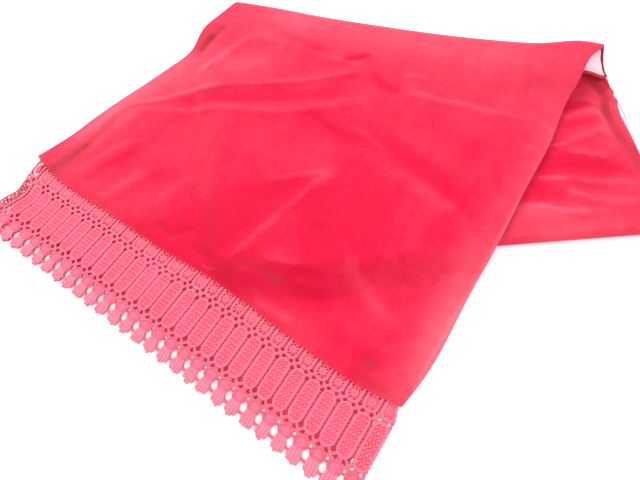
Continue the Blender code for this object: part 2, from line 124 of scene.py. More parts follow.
# Floor
# A plain white table top, a little rough, reaching well past the shawl.
class Field:
    """A node's output with sums written as Python: each operator adds the Math node it names."""

    def __init__(self, tree, socket):
        self.tree = tree
        self.socket = socket

    def join(self, socket, value):
        if isinstance(value, Field):
            self.tree.links.new(value.socket, socket)
        else:
            socket.default_value = value

    def node(self, kind, settings=None, output=0, **inputs):
        """Any node: its type, its settings, then the values or links of its sockets."""
        made = self.tree.nodes.new(kind)
        for name, value in (settings or {}).items():
            setattr(made, name, value)
        for name, value in inputs.items():
            self.join(find_socket(made, name), value)
        return Field(self.tree, made.outputs[output])

    def math(self, operation, *values):
        made = self.tree.nodes.new("ShaderNodeMath")
        made.operation = operation
        for socket, value in zip(made.inputs, values):
            self.join(socket, value)
        return Field(self.tree, made.outputs[0])

    def __add__(self, other):
        return self.math("ADD", self, other)

    def __sub__(self, other):
        return self.math("SUBTRACT", self, other)

    def __rsub__(self, other):
        return self.math("SUBTRACT", other, self)

    def __mul__(self, other):
        return self.math("MULTIPLY", self, other)

    def __pow__(self, other):
        return self.math("POWER", self, other)

    def clip(self):
        """The value held between 0 and 1."""
        return self.math("MAXIMUM", self.math("MINIMUM", self, 1.0), 0.0)

    __radd__ = __add__
    __rmul__ = __mul__


def find_socket(node, name):
    """The first input in use that is called name, with underscores for spaces."""
    wanted = name.replace("_", " ")
    return next(socket for socket in node.inputs if socket.name == wanted and socket.enabled)


class Finish:
    """A new material with its main shader, its Field of coordinates and a few common mixes."""

    def __init__(self, name, **constants):
        self.material = bpy.data.materials.new(name)
        self.material.use_nodes = True
        self.tree = self.material.node_tree
        self.shader = self.tree.nodes["Principled BSDF"]
        self.shader.inputs["Metallic"].default_value = 0.0
        for key, value in constants.items():
            self.shader.inputs[key.replace("_", " ")].default_value = value
        self.start = Field(self.tree, None)

    def place(self):
        return self.start.node("ShaderNodeTexCoord", output="Object")

    def attribute(self, name):
        return self.start.node("ShaderNodeAttribute", {"attribute_name": name}, output="Fac")

    def noise(self, where, scale, detail=2.0, roughness=0.5):
        return self.start.node(
            "ShaderNodeTexNoise", output="Fac",
            Vector=where, Scale=scale, Detail=detail, Roughness=roughness,
        )

    def stretch(self, where, scale, turn=(0.0, 0.0, 0.0)):
        return self.start.node("ShaderNodeMapping", Vector=where, Scale=scale, Rotation=turn)

    def blend(self, factor, first, second):
        """The first colour where factor is 0 and the second where it is 1."""
        made = self.tree.nodes.new("ShaderNodeMix")
        made.data_type = "RGBA"
        for socket, value in ((made.inputs[0], factor), (made.inputs[6], first), (made.inputs[7], second)):
            if isinstance(value, tuple):
                value = (*value, 1.0)
            self.start.join(socket, value)
        return Field(self.tree, made.outputs[2])

    def bump(self, height, distance, strength):
        return self.start.node(
            "ShaderNodeBump", output="Normal", Height=height, Distance=distance, Strength=strength
        )

    def feed(self, name, value):
        self.start.join(self.shader.inputs[name], value)


def add_mesh(name, points, faces, finish, attributes=None):
    """A smooth-shaded object whose points are given in the seam's frame."""
    mesh = bpy.data.meshes.new(name)
    count = len(points)
    mesh.vertices.add(count)
    placed = np.asarray(points, float) + SEAM_ORIGIN
    mesh.vertices.foreach_set("co", placed.astype(np.float32).ravel())
    sizes = np.full(len(faces), faces.shape[1], np.int32)
    mesh.loops.add(int(sizes.sum()))
    mesh.loops.foreach_set("vertex_index", faces.astype(np.int32).ravel())
    mesh.polygons.add(len(faces))
    mesh.polygons.foreach_set("loop_start", (np.cumsum(sizes) - sizes).astype(np.int32))
    mesh.update(calc_edges=True)
    mesh.validate()
    for key, values in (attributes or {}).items():
        layer = mesh.attributes.new(key, "FLOAT", "POINT")
        layer.data.foreach_set("value", np.asarray(values, np.float32).ravel())
    mesh.shade_smooth()
    mesh.materials.append(finish.material)
    made = bpy.data.objects.new(name, mesh)
    bpy.context.scene.collection.objects.link(made)
    return made


FLOOR_HALF = 3.0
table_finish = Finish("white_table", Roughness=0.55)
table_speck = table_finish.noise(table_finish.place(), 9.0)
table_finish.feed("Base Color", table_finish.blend(table_speck, (0.93, 0.93, 0.93), (0.96, 0.96, 0.96)))
floor_points = np.array([(-1, -1, 0), (1, -1, 0), (1, 1, 0), (-1, 1, 0)], float) * FLOOR_HALF
floor = add_mesh("table_top", floor_points - SEAM_ORIGIN, np.array([(0, 1, 2, 3)]), table_finish)


# Velvet front, upper half
# Cotton velvet with a lining of the same cut behind it, folded in half round its left edge and
# carried back over itself at a slanting ridge. Its right edge is turned in and stitched.
VELVET_WALL = 0.0012
CAD_WALL = 0.0020
LAYER_AIR = 0.0005
FRONT_EASE = 0.0024
FRONT_SWELL = 0.0005
LEAST_EASE = 0.0004
CREASE_KEPT = 0.55
CREASE_END = 0.02
EDGE_EASE = 0.0009
FRONT_LEFT = (  # share of the way to the ridge, x of the folded edge
    (0, -0.475), (0.05, -0.4706), (0.16, -0.4622), (0.27, -0.4572), (0.38, -0.451), (0.54, -0.4396),
    (0.66, -0.4318), (0.76, -0.4256), (0.84, -0.422), (0.92, -0.416), (1, -0.4125),
)
SEAM_LIFT = (  # x, how far the seam is drawn up towards the ridge
    (-0.476, 0.0098), (-0.466, 0.007), (-0.456, 0.005), (-0.447, 0.0034), (-0.436, 0.002),
    (-0.4255, 0.001), (-0.41, 0.0002), (-0.4, 0), (-0.345, 0.001), (-0.3, 0.0003), (-0.265, 0.0005),
    (-0.24, 0.0018), (-0.217, 0.003), (-0.2, 0.003), (-0.177, 0.002), (-0.161, 0.002), (-0.145, 0),
    (-0.129, -0.0006), (-0.105, -0.0018), (-0.08, -0.003), (-0.057, -0.0036), (-0.04, -0.0032),
    (-0.025, -0.0016), (-0.012, 0.0003), (0, 0.0015),
)
RIGHT_BOW = (  # y, how far the front's right edge stands past x = 0
    (0, -0.004), (0.012, -0.002), (0.024, -0.0002), (0.12, 0.0006), (0.175, 0.0002), (0.226, -0.0015),
    (0.315, -0.0034), (0.338, -0.006), (0.355, -0.0076), (0.383, -0.0078), (0.402, -0.0092),
    (0.416, -0.0088), (0.425, -0.006), (0.432, -0.0026),
)
HALF_FOLD_RADIUS = 0.0026
HALF_FOLD_LIP = 0.008
RIDGE = (  # x, y of the ridge's crown, height of the crown
    (-0.43, 0.296, 0.027), (-0.366, 0.3155, 0.026), (-0.302, 0.33, 0.0262), (-0.229, 0.3485, 0.0274),
    (-0.155, 0.3695, 0.0286), (-0.104, 0.3855, 0.0303), (-0.06, 0.402, 0.0322), (-0.026, 0.422, 0.034),
    (0, 0.43, 0.0336),
)
RIDGE_ANGLE = math.radians(17.0)
RIDGE_SLOPE_LENGTH = 0.085
RIDGE_TAIL = 0.0170
REAR_MARGIN = 0.0085
INNER_LOOP_BACK = 0.018
INNER_LOOP_DROP = 0.0065
INNER_LOOP_SLOPE_LENGTH = 0.052
CORNER = np.array((0.125, 0.266))
EDGE_DIRECTION = np.array((0.80, 0.60))
LENGTH_DIRECTION = np.array((-0.60, 0.80))
STACK_WIDTH = 0.392
STACK_LENGTH = 0.350
STACK_SPREAD = 0.028
SEAM_RISE_LENGTH = 0.026
STACK_SLOPE_LENGTH = 0.038
STACK_SIDE_MARGIN = 0.012
STACK_EDGE_MARGIN = 0.003
STACK_TOP = 0.0120
FRONT_CREASES = (  # x, y of the crest's points, rise, reach on its left and right: millimetres
    ((-438, 120, -422, 131, -400, 147, -389, 160, -372, 178, -352, 185, -335, 194, -307, 215, -268, 240,
      -241, 262, -216, 285, -215, 284, -200, 285, -181, 279, -168, 277), 3.4, 20, 6),
    ((-426, 78, -420, 99, -415, 117, -407, 123, -368, 144, -351, 154, -330, 162, -304, 174, -282, 183,
      -263, 193, -244, 205, -227, 220, -211, 235, -195, 251, -182, 268), 2.6, 10, 12),
    ((-395, 177, -390, 193, -381, 206, -373, 221, -370, 241, -366, 253, -360, 265, -345, 271, -320, 274),
      3, 8, 9),
    ((-345, 270, -295, 279, -255, 283, -231, 289, -216, 294), 1.8, 6, 10),
    ((-360, 293, -326, 289, -296, 288, -263, 285, -247, 287), -2.2, 8, 8),
    ((-238, 287, -229, 297, -216, 307), -1.8, 4, 4),
    ((-238, 304, -211, 309, -188, 304, -169, 302), 1.6, 7, 6),
    ((-244, 205, -227, 205, -204, 201, -183, 199, -163, 199, -145, 201), -2, 6, 6),
    ((-186, 216, -160, 210, -141, 206, -124, 202), 2, 5, 5),
    ((-178, 227, -145, 219, -117, 212, -91, 205, -67, 197, -48, 189, -30, 181), -3.4, 7, 10),
    ((-119, 188, -91, 185, -63, 182, -36, 175), 2, 12, 10),
    ((-168, 283, -141, 288, -118, 291, -95, 298, -72, 302, -50, 306, -31, 316), 2.8, 5.5, 10),
    ((-175, 300, -162, 307, -140, 313), 1.3, 5, 5),
    ((-24, 315, -12, 314, -1, 314), 1.8, 4, 4),
    ((-165, 159, -190, 140, -203, 129, -225, 110), 2, 7, 7),
    ((-165, 159, -173, 147, -179, 123, -184, 96, -192, 64, -196, 44, -204, 19), 3.2, 9, 8),
    ((-184, 128, -203, 103, -227, 76), -1.4, 12, 12),
    ((-202, 71, -210, 55, -211, 38, -217, 21), -1.8, 11, 9),
    ((-147, 104, -143, 87, -138, 73), -1.4, 8, 8),
    ((-142, 120, -121, 98, -101, 81, -80, 70, -57, 61, -33, 53), 2, 12, 12),
    ((-199, 19, -183, 29, -167, 34, -146, 38), -2, 6, 5),
    ((-179, 43, -153, 52, -131, 59, -112, 67), 1.5, 5, 4),
    ((-146, 42, -135, 53, -118, 57), -1.6, 4, 4),
    ((-142, 39, -119, 48, -95, 57), 1.4, 4, 4),
    ((-134, 38, -118, 39, -102, 44), -1.8, 5, 5),
    ((-370, 3, -360, 26, -352, 46, -348, 65), 1.5, 6, 6),
    ((-423, 7, -415, 21, -407, 44, -399, 68, -385, 92), 1.7, 7, 7),
    ((-441, 56, -441, 79, -442, 103, -438, 120), 1.4, 6, 5),
    ((-403, 4, -395, 32, -383, 61, -369, 82), -1.2, 6, 6),
    ((-359, 7, -347, 23, -342, 52, -324, 75), -1.2, 7, 7),
    ((-313, 37, -303, 70, -296, 85), 1.2, 6, 6),
    ((-302, 9, -292, 17, -273, 16, -259, 31, -249, 39), -1.8, 5, 5),
    ((-250, 16, -228, 18, -207, 21), -1.6, 5, 4),
    ((-168, 7, -147, 8, -126, 10, -111, 11), 1.3, 6, 5),
    ((-413, 221, -410, 233, -404, 245, -398, 268), -3, 6, 6),
    ((-446, 15, -440, 31, -436, 49, -434, 70, -433, 88, -432, 111, -423, 125), -2.4, 6, 6.5),
    ((-31, 9, -41, 17, -52, 18), -1.8, 6, 6),
    ((-120, 260, -96, 258, -67, 256), -1.4, 14, 14),
)
FRONT_SHEEN_AND_SHADE = (  # x, y of a stroke's points, how pale with painted highlight and sheen (deep with painted shade below 0), reach
    ((-438, 120, -422, 131, -400, 147, -389, 160, -372, 178, -352, 185, -335, 194), 0.45, 3),
    ((-335, 194, -307, 215, -268, 240, -241, 262, -216, 285, -215, 284, -200, 285), 0.187, 3),
    ((-422, 142, -410, 165, -388, 197, -346, 227, -298, 263), 0.13, 16),
    ((-410, 129, -390, 143, -372, 159, -334, 175, -295, 200, -256, 223, -221, 251, -194, 276), -0.13, 8),
    ((-426, 78, -420, 99, -415, 117), 0.22, 3.7),
    ((-415, 117, -407, 123, -368, 144, -351, 154, -330, 162, -304, 174, -282, 183, -263, 193, -244, 205,
      -227, 220, -211, 235, -195, 251, -182, 268), 0.12, 4),
    ((-395, 177, -381, 206, -373, 221, -370, 241, -366, 253, -360, 265, -345, 271), 0.231, 3.2),
    ((-255, 283, -231, 289, -216, 294), 0.22, 2.1),
    ((-237, 289, -228, 297, -218, 306), -0.214, 4.6),
    ((-198, 288, -183, 282, -171, 281), -0.171, 5.8),
    ((-350, 291, -326, 289, -296, 288, -263, 285), -0.12, 9.4),
    ((-237, 204, -227, 205, -204, 201, -183, 199, -163, 199), -0.17, 7),
    ((-169, 225, -145, 219, -117, 212, -91, 205, -67, 197, -48, 189, -32, 182), -0.171, 10.9),
    ((-108, 186, -86, 185, -63, 182, -39, 176), 0.12, 8),
    ((-161, 283, -141, 288, -118, 291, -95, 298, -72, 302, -50, 306), 0.22, 3.2),
    ((-141, 291, -115, 296, -90, 304, -65, 310, -46, 317), -0.08, 8.7),
    ((-173, 301, -162, 307, -143, 312), 0.231, 2.3),
    ((-20, 314, -12, 314, -2, 314), 0.33, 1.8),
    ((-17, 282, -11, 283), 0.22, 1.6),
    ((-165, 159, -190, 140, -203, 129, -225, 110), 0.156, 3.6),
    ((-165, 159, -173, 147, -179, 123, -184, 96), 0.22, 3.7),
    ((-184, 96, -192, 64, -196, 44, -204, 19), 0.2, 4),
    ((-187, 125, -203, 103, -221, 82), -0.143, 14.5),
    ((-202, 71, -210, 55, -211, 38, -217, 21), -0.1, 14),
    ((-147, 104, -143, 87, -138, 73), -0.09, 14),
    ((-121, 113, -107, 102), -0.128, 8.7),
    ((-119, 114, -110, 110, -103, 100), 0.209, 1.6),
    ((-153, 109, -146, 108, -138, 105), 0.198, 1.6),
    ((-116, 95, -101, 81, -80, 70, -57, 61, -35, 54), 0.144, 7.5),
    ((-199, 19, -183, 29, -167, 34, -146, 38), -0.11, 9),
    ((-145, 43, -135, 53, -120, 56), -0.214, 5.2),
    ((-132, 38, -118, 39, -105, 43), -0.2, 5.8),
    ((-175, 44, -153, 52, -133, 59), 0.11, 3.4),
    ((-370, 3, -360, 26, -352, 46, -348, 65), 0.14, 6),
    ((-423, 7, -415, 21, -407, 44, -399, 68, -385, 92), 0.16, 5.5),
    ((-441, 56, -441, 79, -442, 103, -438, 120), 0.15, 3.4),
    ((-403, 4, -395, 32, -383, 61, -369, 82), -0.11, 7),
    ((-359, 7, -347, 23, -342, 52, -324, 75), -0.11, 8),
    ((-313, 37, -303, 70, -296, 85), 0.1, 6),
    ((-302, 9, -292, 17, -273, 16, -259, 31, -249, 39), -0.08, 7),
    ((-250, 16, -228, 18, -207, 21), -0.08, 6),
    ((-227, 9, -216, 10, -206, 11), 0.468, 0.9),
    ((-168, 7, -147, 8, -126, 10, -111, 11), 0.18, 4.8),
    ((-212, 227, -202, 229, -194, 229), 0.275, 0.9),
    ((-205, 173, -193, 173), 0.22, 0.9),
    ((-448, 20, -444, 79, -438, 141, -428, 204, -419, 250), 0.31, 20),
    ((-458, 17, -453, 79, -445, 141, -438, 206, -426, 259), 0.36, 7),
    ((-418, 290, -325, 324, -204, 355, -96, 385, -8, 422), 0.18, 30),
    ((-2, 381, 1, 319, 0, 222, 1, 174, 0, 121, 0, 63, -4, 10), 0.2, 20),
    ((1, 142, -1, 94, -1, 48, -5, 7), 0.375, 24),
    ((4, 113, 2, 69, 0, 29, -4, 9), 0.33, 9),
    ((-144, 338, -79, 348, -23, 370), 0.11, 40),
    ((-118, 257, -96, 258, -67, 256), -0.071, 20.3),
    ((-86, 23, -64, 22, -39, 17), -0.086, 13),
    ((-204, 47, -144, 96, -85, 126), -0.086, 65.3),
    ((-500, 60, -440, 160, -380, 260, -330, 330), 0.14, 75),
    ((-420, 310, -240, 335, -80, 370, 100, 420), 0.07, 65),
    ((60, 60, 30, 160, 20, 300, 20, 440), 0.05, 50),
    ((4, -30, 3, 30, 2, 90, 0, 140), 0.06, 22),
    ((-279, 25, -233, 37, -209, 66), -0.085, 22),
    ((-175, 121, -152, 104, -133, 83), -0.09, 20),
    ((-194, 22, -140, 39, -86, 56), -0.1, 16),
    ((-197, 113, -212, 93), -0.03, 20),
    ((-103, 2, -50, 16), -0.03, 30),
    ((-417, 7, -358, 28, -313, 40), 0.1, 20),
    ((-51, 117, -29, 119, -11, 116), 0.06, 30),
)
FRONT_PAINTED_SHADE = (  # x, y of a painted shade mark's points, how dusky, reach
    ((-411, 229, -409, 237, -406, 244), 0.8, 6),
    ((-404, 249, -400, 265), 0.55, 5.5),
    ((-362, 296, -370, 279), 0.3, 6),
    ((-44, 18, -40, 18), 0.6, 5),
    ((-51, 6, -32, 4, -11, 5), 0.45, 5),
    ((-198, 18, -189, 28, -175, 36, -163, 34), 0.3, 6),
    ((-156, 34, -149, 34), 0.45, 5),
    ((-302, 9, -292, 17, -273, 16, -263, 26), 0.3, 4.2),
    ((-447, 7, -445, 17, -439, 33, -436, 49), 0.62, 7.5),
    ((-439, 33, -436, 49, -434, 70, -433, 88, -433, 105), 0.4, 4.5),
    ((-433, 108, -429, 118, -416, 128, -394, 138), 0.42, 3.4),
    ((-456, 5, -441, 8, -435, 18, -434, 31), 0.34, 9),
)
HEM_HIGHLIGHT_WIDTH = 0.0016
CREST_ROUND = 0.0012
CREST_LEAN = 0.004
END_FADE = 0.22


def smooth(t):
    """A soft step from 0 to 1: three t squared less two t cubed, held outside 0 to 1."""
    t = np.clip(t, 0.0, 1.0)
    return t * t * (3.0 - 2.0 * t)


def read_table(table, column, at):
    """Value of a table's column at `at` along its first column, on a smooth cubic through its rows."""
    rows = np.array(table)
    keys = rows[:, 0]
    values = rows[:, column]
    slopes = np.gradient(values, keys)
    at = np.clip(at, keys[0], keys[-1])
    i = np.clip(np.searchsorted(keys, at) - 1, 0, len(keys) - 2)
    span = keys[i + 1] - keys[i]
    t = (at - keys[i]) / span
    start = values[i] * (1 + 2 * t) * (1 - t) ** 2 + slopes[i] * span * t * (1 - t) ** 2
    end = values[i + 1] * t * t * (3 - 2 * t) - slopes[i + 1] * span * t * t * (1 - t)
    return start + end


def ridge_y(x):
    """How far up the ridge's crown lies at x."""
    return read_table(RIDGE, 1, x)


def ridge_top(x):
    """Height of the ridge's crown at x."""
    return read_table(RIDGE, 2, x)


def to_strip(x, y):
    """How far a point lies up the hidden stack from its lower edge, and in from its outer edge."""
    dx = x - CORNER[0]
    dy = y - CORNER[1]
    up = dx * LENGTH_DIRECTION[0] + dy * LENGTH_DIRECTION[1]
    inward = -(dx * EDGE_DIRECTION[0] + dy * EDGE_DIRECTION[1])
    return up, inward


def from_strip(up, inward):
    """The place that lies so far up the hidden stack and so far in from its outer edge."""
    x = CORNER[0] + up * LENGTH_DIRECTION[0] - inward * EDGE_DIRECTION[0]
    y = CORNER[1] + up * LENGTH_DIRECTION[1] - inward * EDGE_DIRECTION[1]
    return x, y


def nearest_on(x, y, line):
    """Distance to a line of points in millimetres, which side of it, how far along it from 0 to 1,
    and its length. Each stretch gives the distance to its nearest point, and the least one holds."""
    line = np.reshape(line, (-1, 2)) / 1000.0
    nearest = np.full_like(x, np.inf)
    side = np.zeros_like(x)
    share = np.zeros_like(x)
    lengths = [math.hypot(qx - px, qy - py) for (px, py), (qx, qy) in zip(line, line[1:])]
    done = 0.0
    for (px, py), (qx, qy), length in zip(line, line[1:], lengths):
        ex = qx - px
        ey = qy - py
        t = np.clip(((x - px) * ex + (y - py) * ey) / length**2, 0, 1)
        away = np.hypot(x - px - t * ex, y - py - t * ey)
        closer = away < nearest
        nearest = np.where(closer, away, nearest)
        side = np.where(closer, ex * (y - py) - ey * (x - px), side)
        share = np.where(closer, (done + t * length) / sum(lengths), share)
        done += length
    return nearest, side, share, done


def fade_ends(share):
    """1 along a line's middle, falling softly to 0 at its two ends."""
    return smooth(share / END_FADE) * smooth((1.0 - share) / END_FADE)


def crease_heights(x, y, creases):
    """Sum of creases: each falls off from a crest line as exp of minus the distance over a reach.

    The distance is rounded at the crest, so that the crease is soft, the reach differs on the
    crest's two sides, and a second bell three reaches wide ends it.
    """
    total = np.zeros_like(x)
    for line, rise, left_reach, right_reach in creases:
        nearest, side, share, _ = nearest_on(x, y, line)
        lean = smooth(0.5 + 0.5 * side / (np.abs(side) + 1e-9) * np.clip(nearest / CREST_LEAN, 0, 1))
        reach = (right_reach + (left_reach - right_reach) * lean) / 1000.0
        soft = np.sqrt(nearest**2 + CREST_ROUND**2) - CREST_ROUND
        total += rise * fade_ends(share) * np.exp(-soft / reach) * np.exp(-((nearest / (3.0 * reach)) ** 2))
    return total / 1000.0


def slow_waves(x, y, height, waves):
    """Slow swells: a sum of sines, each with its own direction, length and start."""
    total = np.zeros_like(x)
    for angle, length, start, share in waves:
        along = x * math.cos(angle) + y * math.sin(angle)
        total += share * np.sin(2.0 * math.pi * along / length + start)
    return height * total


def painted_strokes(x, y, strokes):
    """Painted light and shade in the pile's colour: bells across the distance to each stroke's line. Long
    thin strokes fade at their ends, and short broad ones end round."""
    total = np.zeros_like(x)
    for line, strength, reach in strokes:
        nearest, _, share, length = nearest_on(x, y, line)
        reach = reach / 1000.0
        faded = np.maximum(fade_ends(share), smooth(4.0 * reach / length))
        total += strength * faded * np.exp(-((nearest / reach) ** 2))
    return total


CLOTH_SWELLS = (  # direction, length, start, share of the height
    (0.3, 0.19, 0.5, 1.0), (1.4, 0.13, 2.1, 0.8), (2.4, 0.085, 4.0, 0.5), (0.9, 0.052, 1.0, 0.25),
)


def before_ridge(x, y):
    """Distance from the ridge's crown: how far y lies past it, times the slant's cosine."""
    return (y - ridge_y(x)) * math.cos(RIDGE_ANGLE)


def under_height(x, y):
    """Height of the underside of the front's lower half: the floor, the stack, or the inner loop."""
    up, inward = to_strip(x, y)
    over_edge = smooth((up + STACK_EDGE_MARGIN + STACK_SLOPE_LENGTH) / STACK_SLOPE_LENGTH)
    width = STACK_WIDTH + STACK_SPREAD * np.clip(up / STACK_LENGTH, 0.0, 1.0)
    side = width + STACK_SIDE_MARGIN + STACK_SLOPE_LENGTH
    over_side = smooth((side - inward) / STACK_SLOPE_LENGTH)
    on_stack = over_edge * over_side * smooth(y / SEAM_RISE_LENGTH)
    bed = STACK_TOP * on_stack
    loop = ridge_top(x) - INNER_LOOP_DROP - CAD_WALL
    start = -INNER_LOOP_BACK - INNER_LOOP_SLOPE_LENGTH
    near = smooth((before_ridge(x, y) - start) / INNER_LOOP_SLOPE_LENGTH)
    return bed + (loop - bed) * near


def front_height(x, y, edge):
    """Height of the front's velvet face; edge is 0 along its edges and 1 inside them."""
    creases = crease_heights(x, y, FRONT_CREASES)
    ease = FRONT_EASE + creases + slow_waves(x, y, FRONT_SWELL, CLOTH_SWELLS)
    ease = np.maximum(ease, LEAST_EASE)
    ease = EDGE_EASE + (ease - EDGE_EASE) * edge
    laid = under_height(x, y) + CAD_WALL + LAYER_AIR + ease + CAD_WALL
    near = smooth(1.0 + before_ridge(x, y) / RIDGE_SLOPE_LENGTH)
    kept = CREASE_KEPT * near * creases * edge
    return laid + (ridge_top(x) - laid) * near + kept * smooth(-before_ridge(x, y) / CREASE_END)


def loop_points(x, start_y, top, bottom, turn, tail, shift):
    """A turn of the cloth about the slanting ridge: it rolls over a round of its own height, then
    runs back flat, and moves along the ridge in proportion to the cloth that has gone over."""
    radius = (top - bottom) / 2.0
    rolled = radius * turn + tail
    away = radius * np.sin(turn) - tail
    slide = shift * rolled
    px = x - math.sin(RIDGE_ANGLE) * away + math.cos(RIDGE_ANGLE) * slide
    py = start_y + math.cos(RIDGE_ANGLE) * away + math.sin(RIDGE_ANGLE) * slide
    pz = top - radius * (1.0 - np.cos(turn))
    return np.stack([px, py, pz], axis=-1)


def grid_faces(rows, columns):
    """Quads of a grid of points kept row by row."""
    corner = np.arange(rows * columns).reshape(rows, columns)
    quads = np.stack([corner[:-1, :-1], corner[:-1, 1:], corner[1:, 1:], corner[1:, :-1]], axis=-1)
    return quads.reshape(-1, 4)


def half_fold(edge, radius, lip, turns, outward):
    """Columns of points that carry a wall's edge round a small radius and back underneath.

    Each column is the edge moved out by the radius times the turn's sine and down by the radius
    times one less its cosine; the last column is the lip, straight back underneath.
    """
    along = np.gradient(edge, axis=0)
    left = np.zeros_like(edge)
    left[:, 0] = -1.0
    face = np.cross(along, left)
    face /= np.linalg.norm(face, axis=1)[:, None]
    side = left * outward
    columns = [edge - side * lip - face * 2 * radius]
    for turn in turns:
        columns.append(edge + side * radius * math.sin(turn) - face * radius * (1.0 - math.cos(turn)))
    return columns


def add_cloth(name, grid, thickness, finish, offset=-1.0, attributes=None):
    """A cloth wall on a grid of points, with its thickness laid behind that face."""
    rows, columns = grid.shape[:2]
    made = add_mesh(name, grid.reshape(-1, 3), grid_faces(rows, columns), finish, attributes)
    solid = made.modifiers.new("cloth_thickness", "SOLIDIFY")
    solid.thickness = thickness
    solid.offset = offset
    solid.use_quality_normals = True
    return made


def velvet_finish(name, deep, middle, pale, dusky):
    """Short cut pile: patches where it is stroked the other way, fine grain, and a pale sheen.

    One level, the sum of the patches, the grain, a painted sheen that pales the colour where the surface is
    seen edge-on, and the piece's own attribute of painted highlights and painted shade, turns the colour
    from deep to middle and then to pale. A second attribute of painted shade turns it dusky.
    """
    made = Finish(name, Roughness=0.9, Sheen_Weight=0.30, Sheen_Roughness=0.4)
    made.shader.inputs["Sheen Tint"].default_value = (1.0, 0.42, 0.50, 1.0)
    made.shader.inputs["Specular IOR Level"].default_value = 0.05
    where = made.place()
    stroked = made.noise(made.stretch(where, (13.0, 6.0, 6.0), (0.0, 0.0, 0.7)), 1.0, 5.0, 0.62)
    grain = made.noise(where, 1300.0, 2.0, 0.6)
    flecks = made.noise(where, 330.0, 4.0, 0.7)
    patches = made.noise(where, 75.0, 3.0, 0.6)
    facing = made.start.node("ShaderNodeLayerWeight", output="Facing", Blend=0.5)
    level = (stroked - 0.5) * 0.55 + made.attribute("sheen_and_shade") * (patches * 0.7 + 0.65) + (patches - 0.5) * 0.22
    # Painted sheen: the facing term makes the colour paler where the surface is seen edge-on.
    level = level + (flecks - 0.5) * 0.24 + (grain - 0.5) * 0.20 + facing**3.0 * 0.6
    tone = made.blend((level * 1.15 + 0.82).clip(), deep, middle)
    tone = made.blend((level * 0.8 + 0.075).clip(), tone, pale)
    tone = made.blend((made.attribute("painted_shade") * (patches * 1.2 + 0.4)).clip(), tone, dusky)
    made.feed("Base Color", tone)
    made.feed("Normal", made.bump(grain * 0.6 + flecks * 0.4, 0.00035, 0.5))
    return made


# Deep, middle, pale and dusky red: the pale colour is a painted highlight and sheen, the deep one serves
# both the random pile patches and painted shade, and the dusky one is painted shade.
front_velvet = velvet_finish(
    "red_velvet", (0.50, 0.0030, 0.024), (0.61, 0.0098, 0.050), (0.76, 0.125, 0.170), (0.36, 0.026, 0.040)
)

FRONT_ACROSS = 186
HALF_TURNS = np.linspace(math.pi, 0.0, 9)[:-1]
RIDGE_TURNS = np.linspace(0.0, math.pi, 25)[1:]
HEM_RADIUS = 0.0013
HEM_LIP = 0.006
HEM_FLARE = 0.0034
FLARE_REACH = 0.040
TAIL_REACH = 0.060
TAIL_CUT = 0.8
BOW_START = 0.86
LEFT_FADE = 0.05
EDGE_FADE = 0.03
SEAM_ROWS = 14.0
HEM_HIGHLIGHT = 0.55
HEM_LIFT = 0.003
HEM_FADE_ROWS = 4.0
HEM_FADE_COLUMNS = 2.0
EDGE_DROP = 0.0010
EDGE_ROUND = 0.0016
FLOOR_AIR = 0.0003
front_shares = np.concatenate(
    [(0.0, 0.0008, 0.0020, 0.0036, 0.0056), np.linspace(0.008, 1.0, 147) ** 1.06]
)
u, v = np.meshgrid(np.linspace(0.0, 1.0, FRONT_ACROSS), front_shares)
front_x = read_table(FRONT_LEFT, 1, v) * (1.0 - u)
seam_start = read_table(SEAM_LIFT, 1, front_x)
bow_y = seam_start + v * (ridge_y(front_x) - seam_start)
front_x = front_x + read_table(RIGHT_BOW, 1, bow_y) * smooth((u - BOW_START) / (1.0 - BOW_START))
front_y = seam_start + v * (ridge_y(front_x) - seam_start)
inside = smooth(u / LEFT_FADE) * smooth((1.0 - u) / EDGE_FADE) * smooth(v / EDGE_FADE)
front_z = front_height(front_x, front_y, inside)
edge_share = np.clip(1.0 - (front_y - seam_start) / EDGE_ROUND, 0.0, 1.0)
front_z = front_z - EDGE_DROP * (1.0 - np.sqrt(1.0 - edge_share**2))
crown = front_x[-1]
turn_shift = math.tan(RIDGE_ANGLE)
open_end = smooth((crown + TAIL_REACH) / TAIL_REACH)
turns = [(turn, 0.0) for turn in RIDGE_TURNS] + [(math.pi, share) for share in (0.3, 0.7, 1.0)]
loop = np.stack([
    loop_points(
        crown, ridge_y(crown), ridge_top(crown), 0.0, turn,
        share * RIDGE_TAIL * (1.0 - TAIL_CUT * open_end), turn_shift,
    )
    for turn, share in turns
])
flare = HEM_FLARE * smooth((crown + FLARE_REACH) / FLARE_REACH)
loop[..., 0] += flare * smooth(np.arange(len(loop)) / len(RIDGE_TURNS))[:, None]
front_face = np.concatenate([np.stack([front_x, front_y, front_z], axis=-1), loop])
left_columns = half_fold(front_face[:, 0], HALF_FOLD_RADIUS, HALF_FOLD_LIP, HALF_TURNS, 1.0)
right_columns = half_fold(front_face[:, -1], HEM_RADIUS, HEM_LIP, HALF_TURNS, -1.0)[::-1]
front_cloth = np.concatenate(
    [np.stack(left_columns, axis=1), front_face, np.stack(right_columns, axis=1)], axis=1
)
seam_air = VELVET_WALL * (1.0 - smooth(np.arange(len(front_cloth)) / SEAM_ROWS))[:, None]
front_cloth[..., 2] = np.maximum(front_cloth[..., 2], FLOOR_AIR + seam_air)
# Painted highlights along the crests and towards the edges, and painted shade in the valleys.
sheen_and_shade = painted_strokes(front_cloth[..., 0], front_cloth[..., 1], FRONT_SHEEN_AND_SHADE)
# Painted shade in the hollows along the left edge and the seam.
painted_shade = painted_strokes(front_cloth[..., 0], front_cloth[..., 1], FRONT_PAINTED_SHADE)
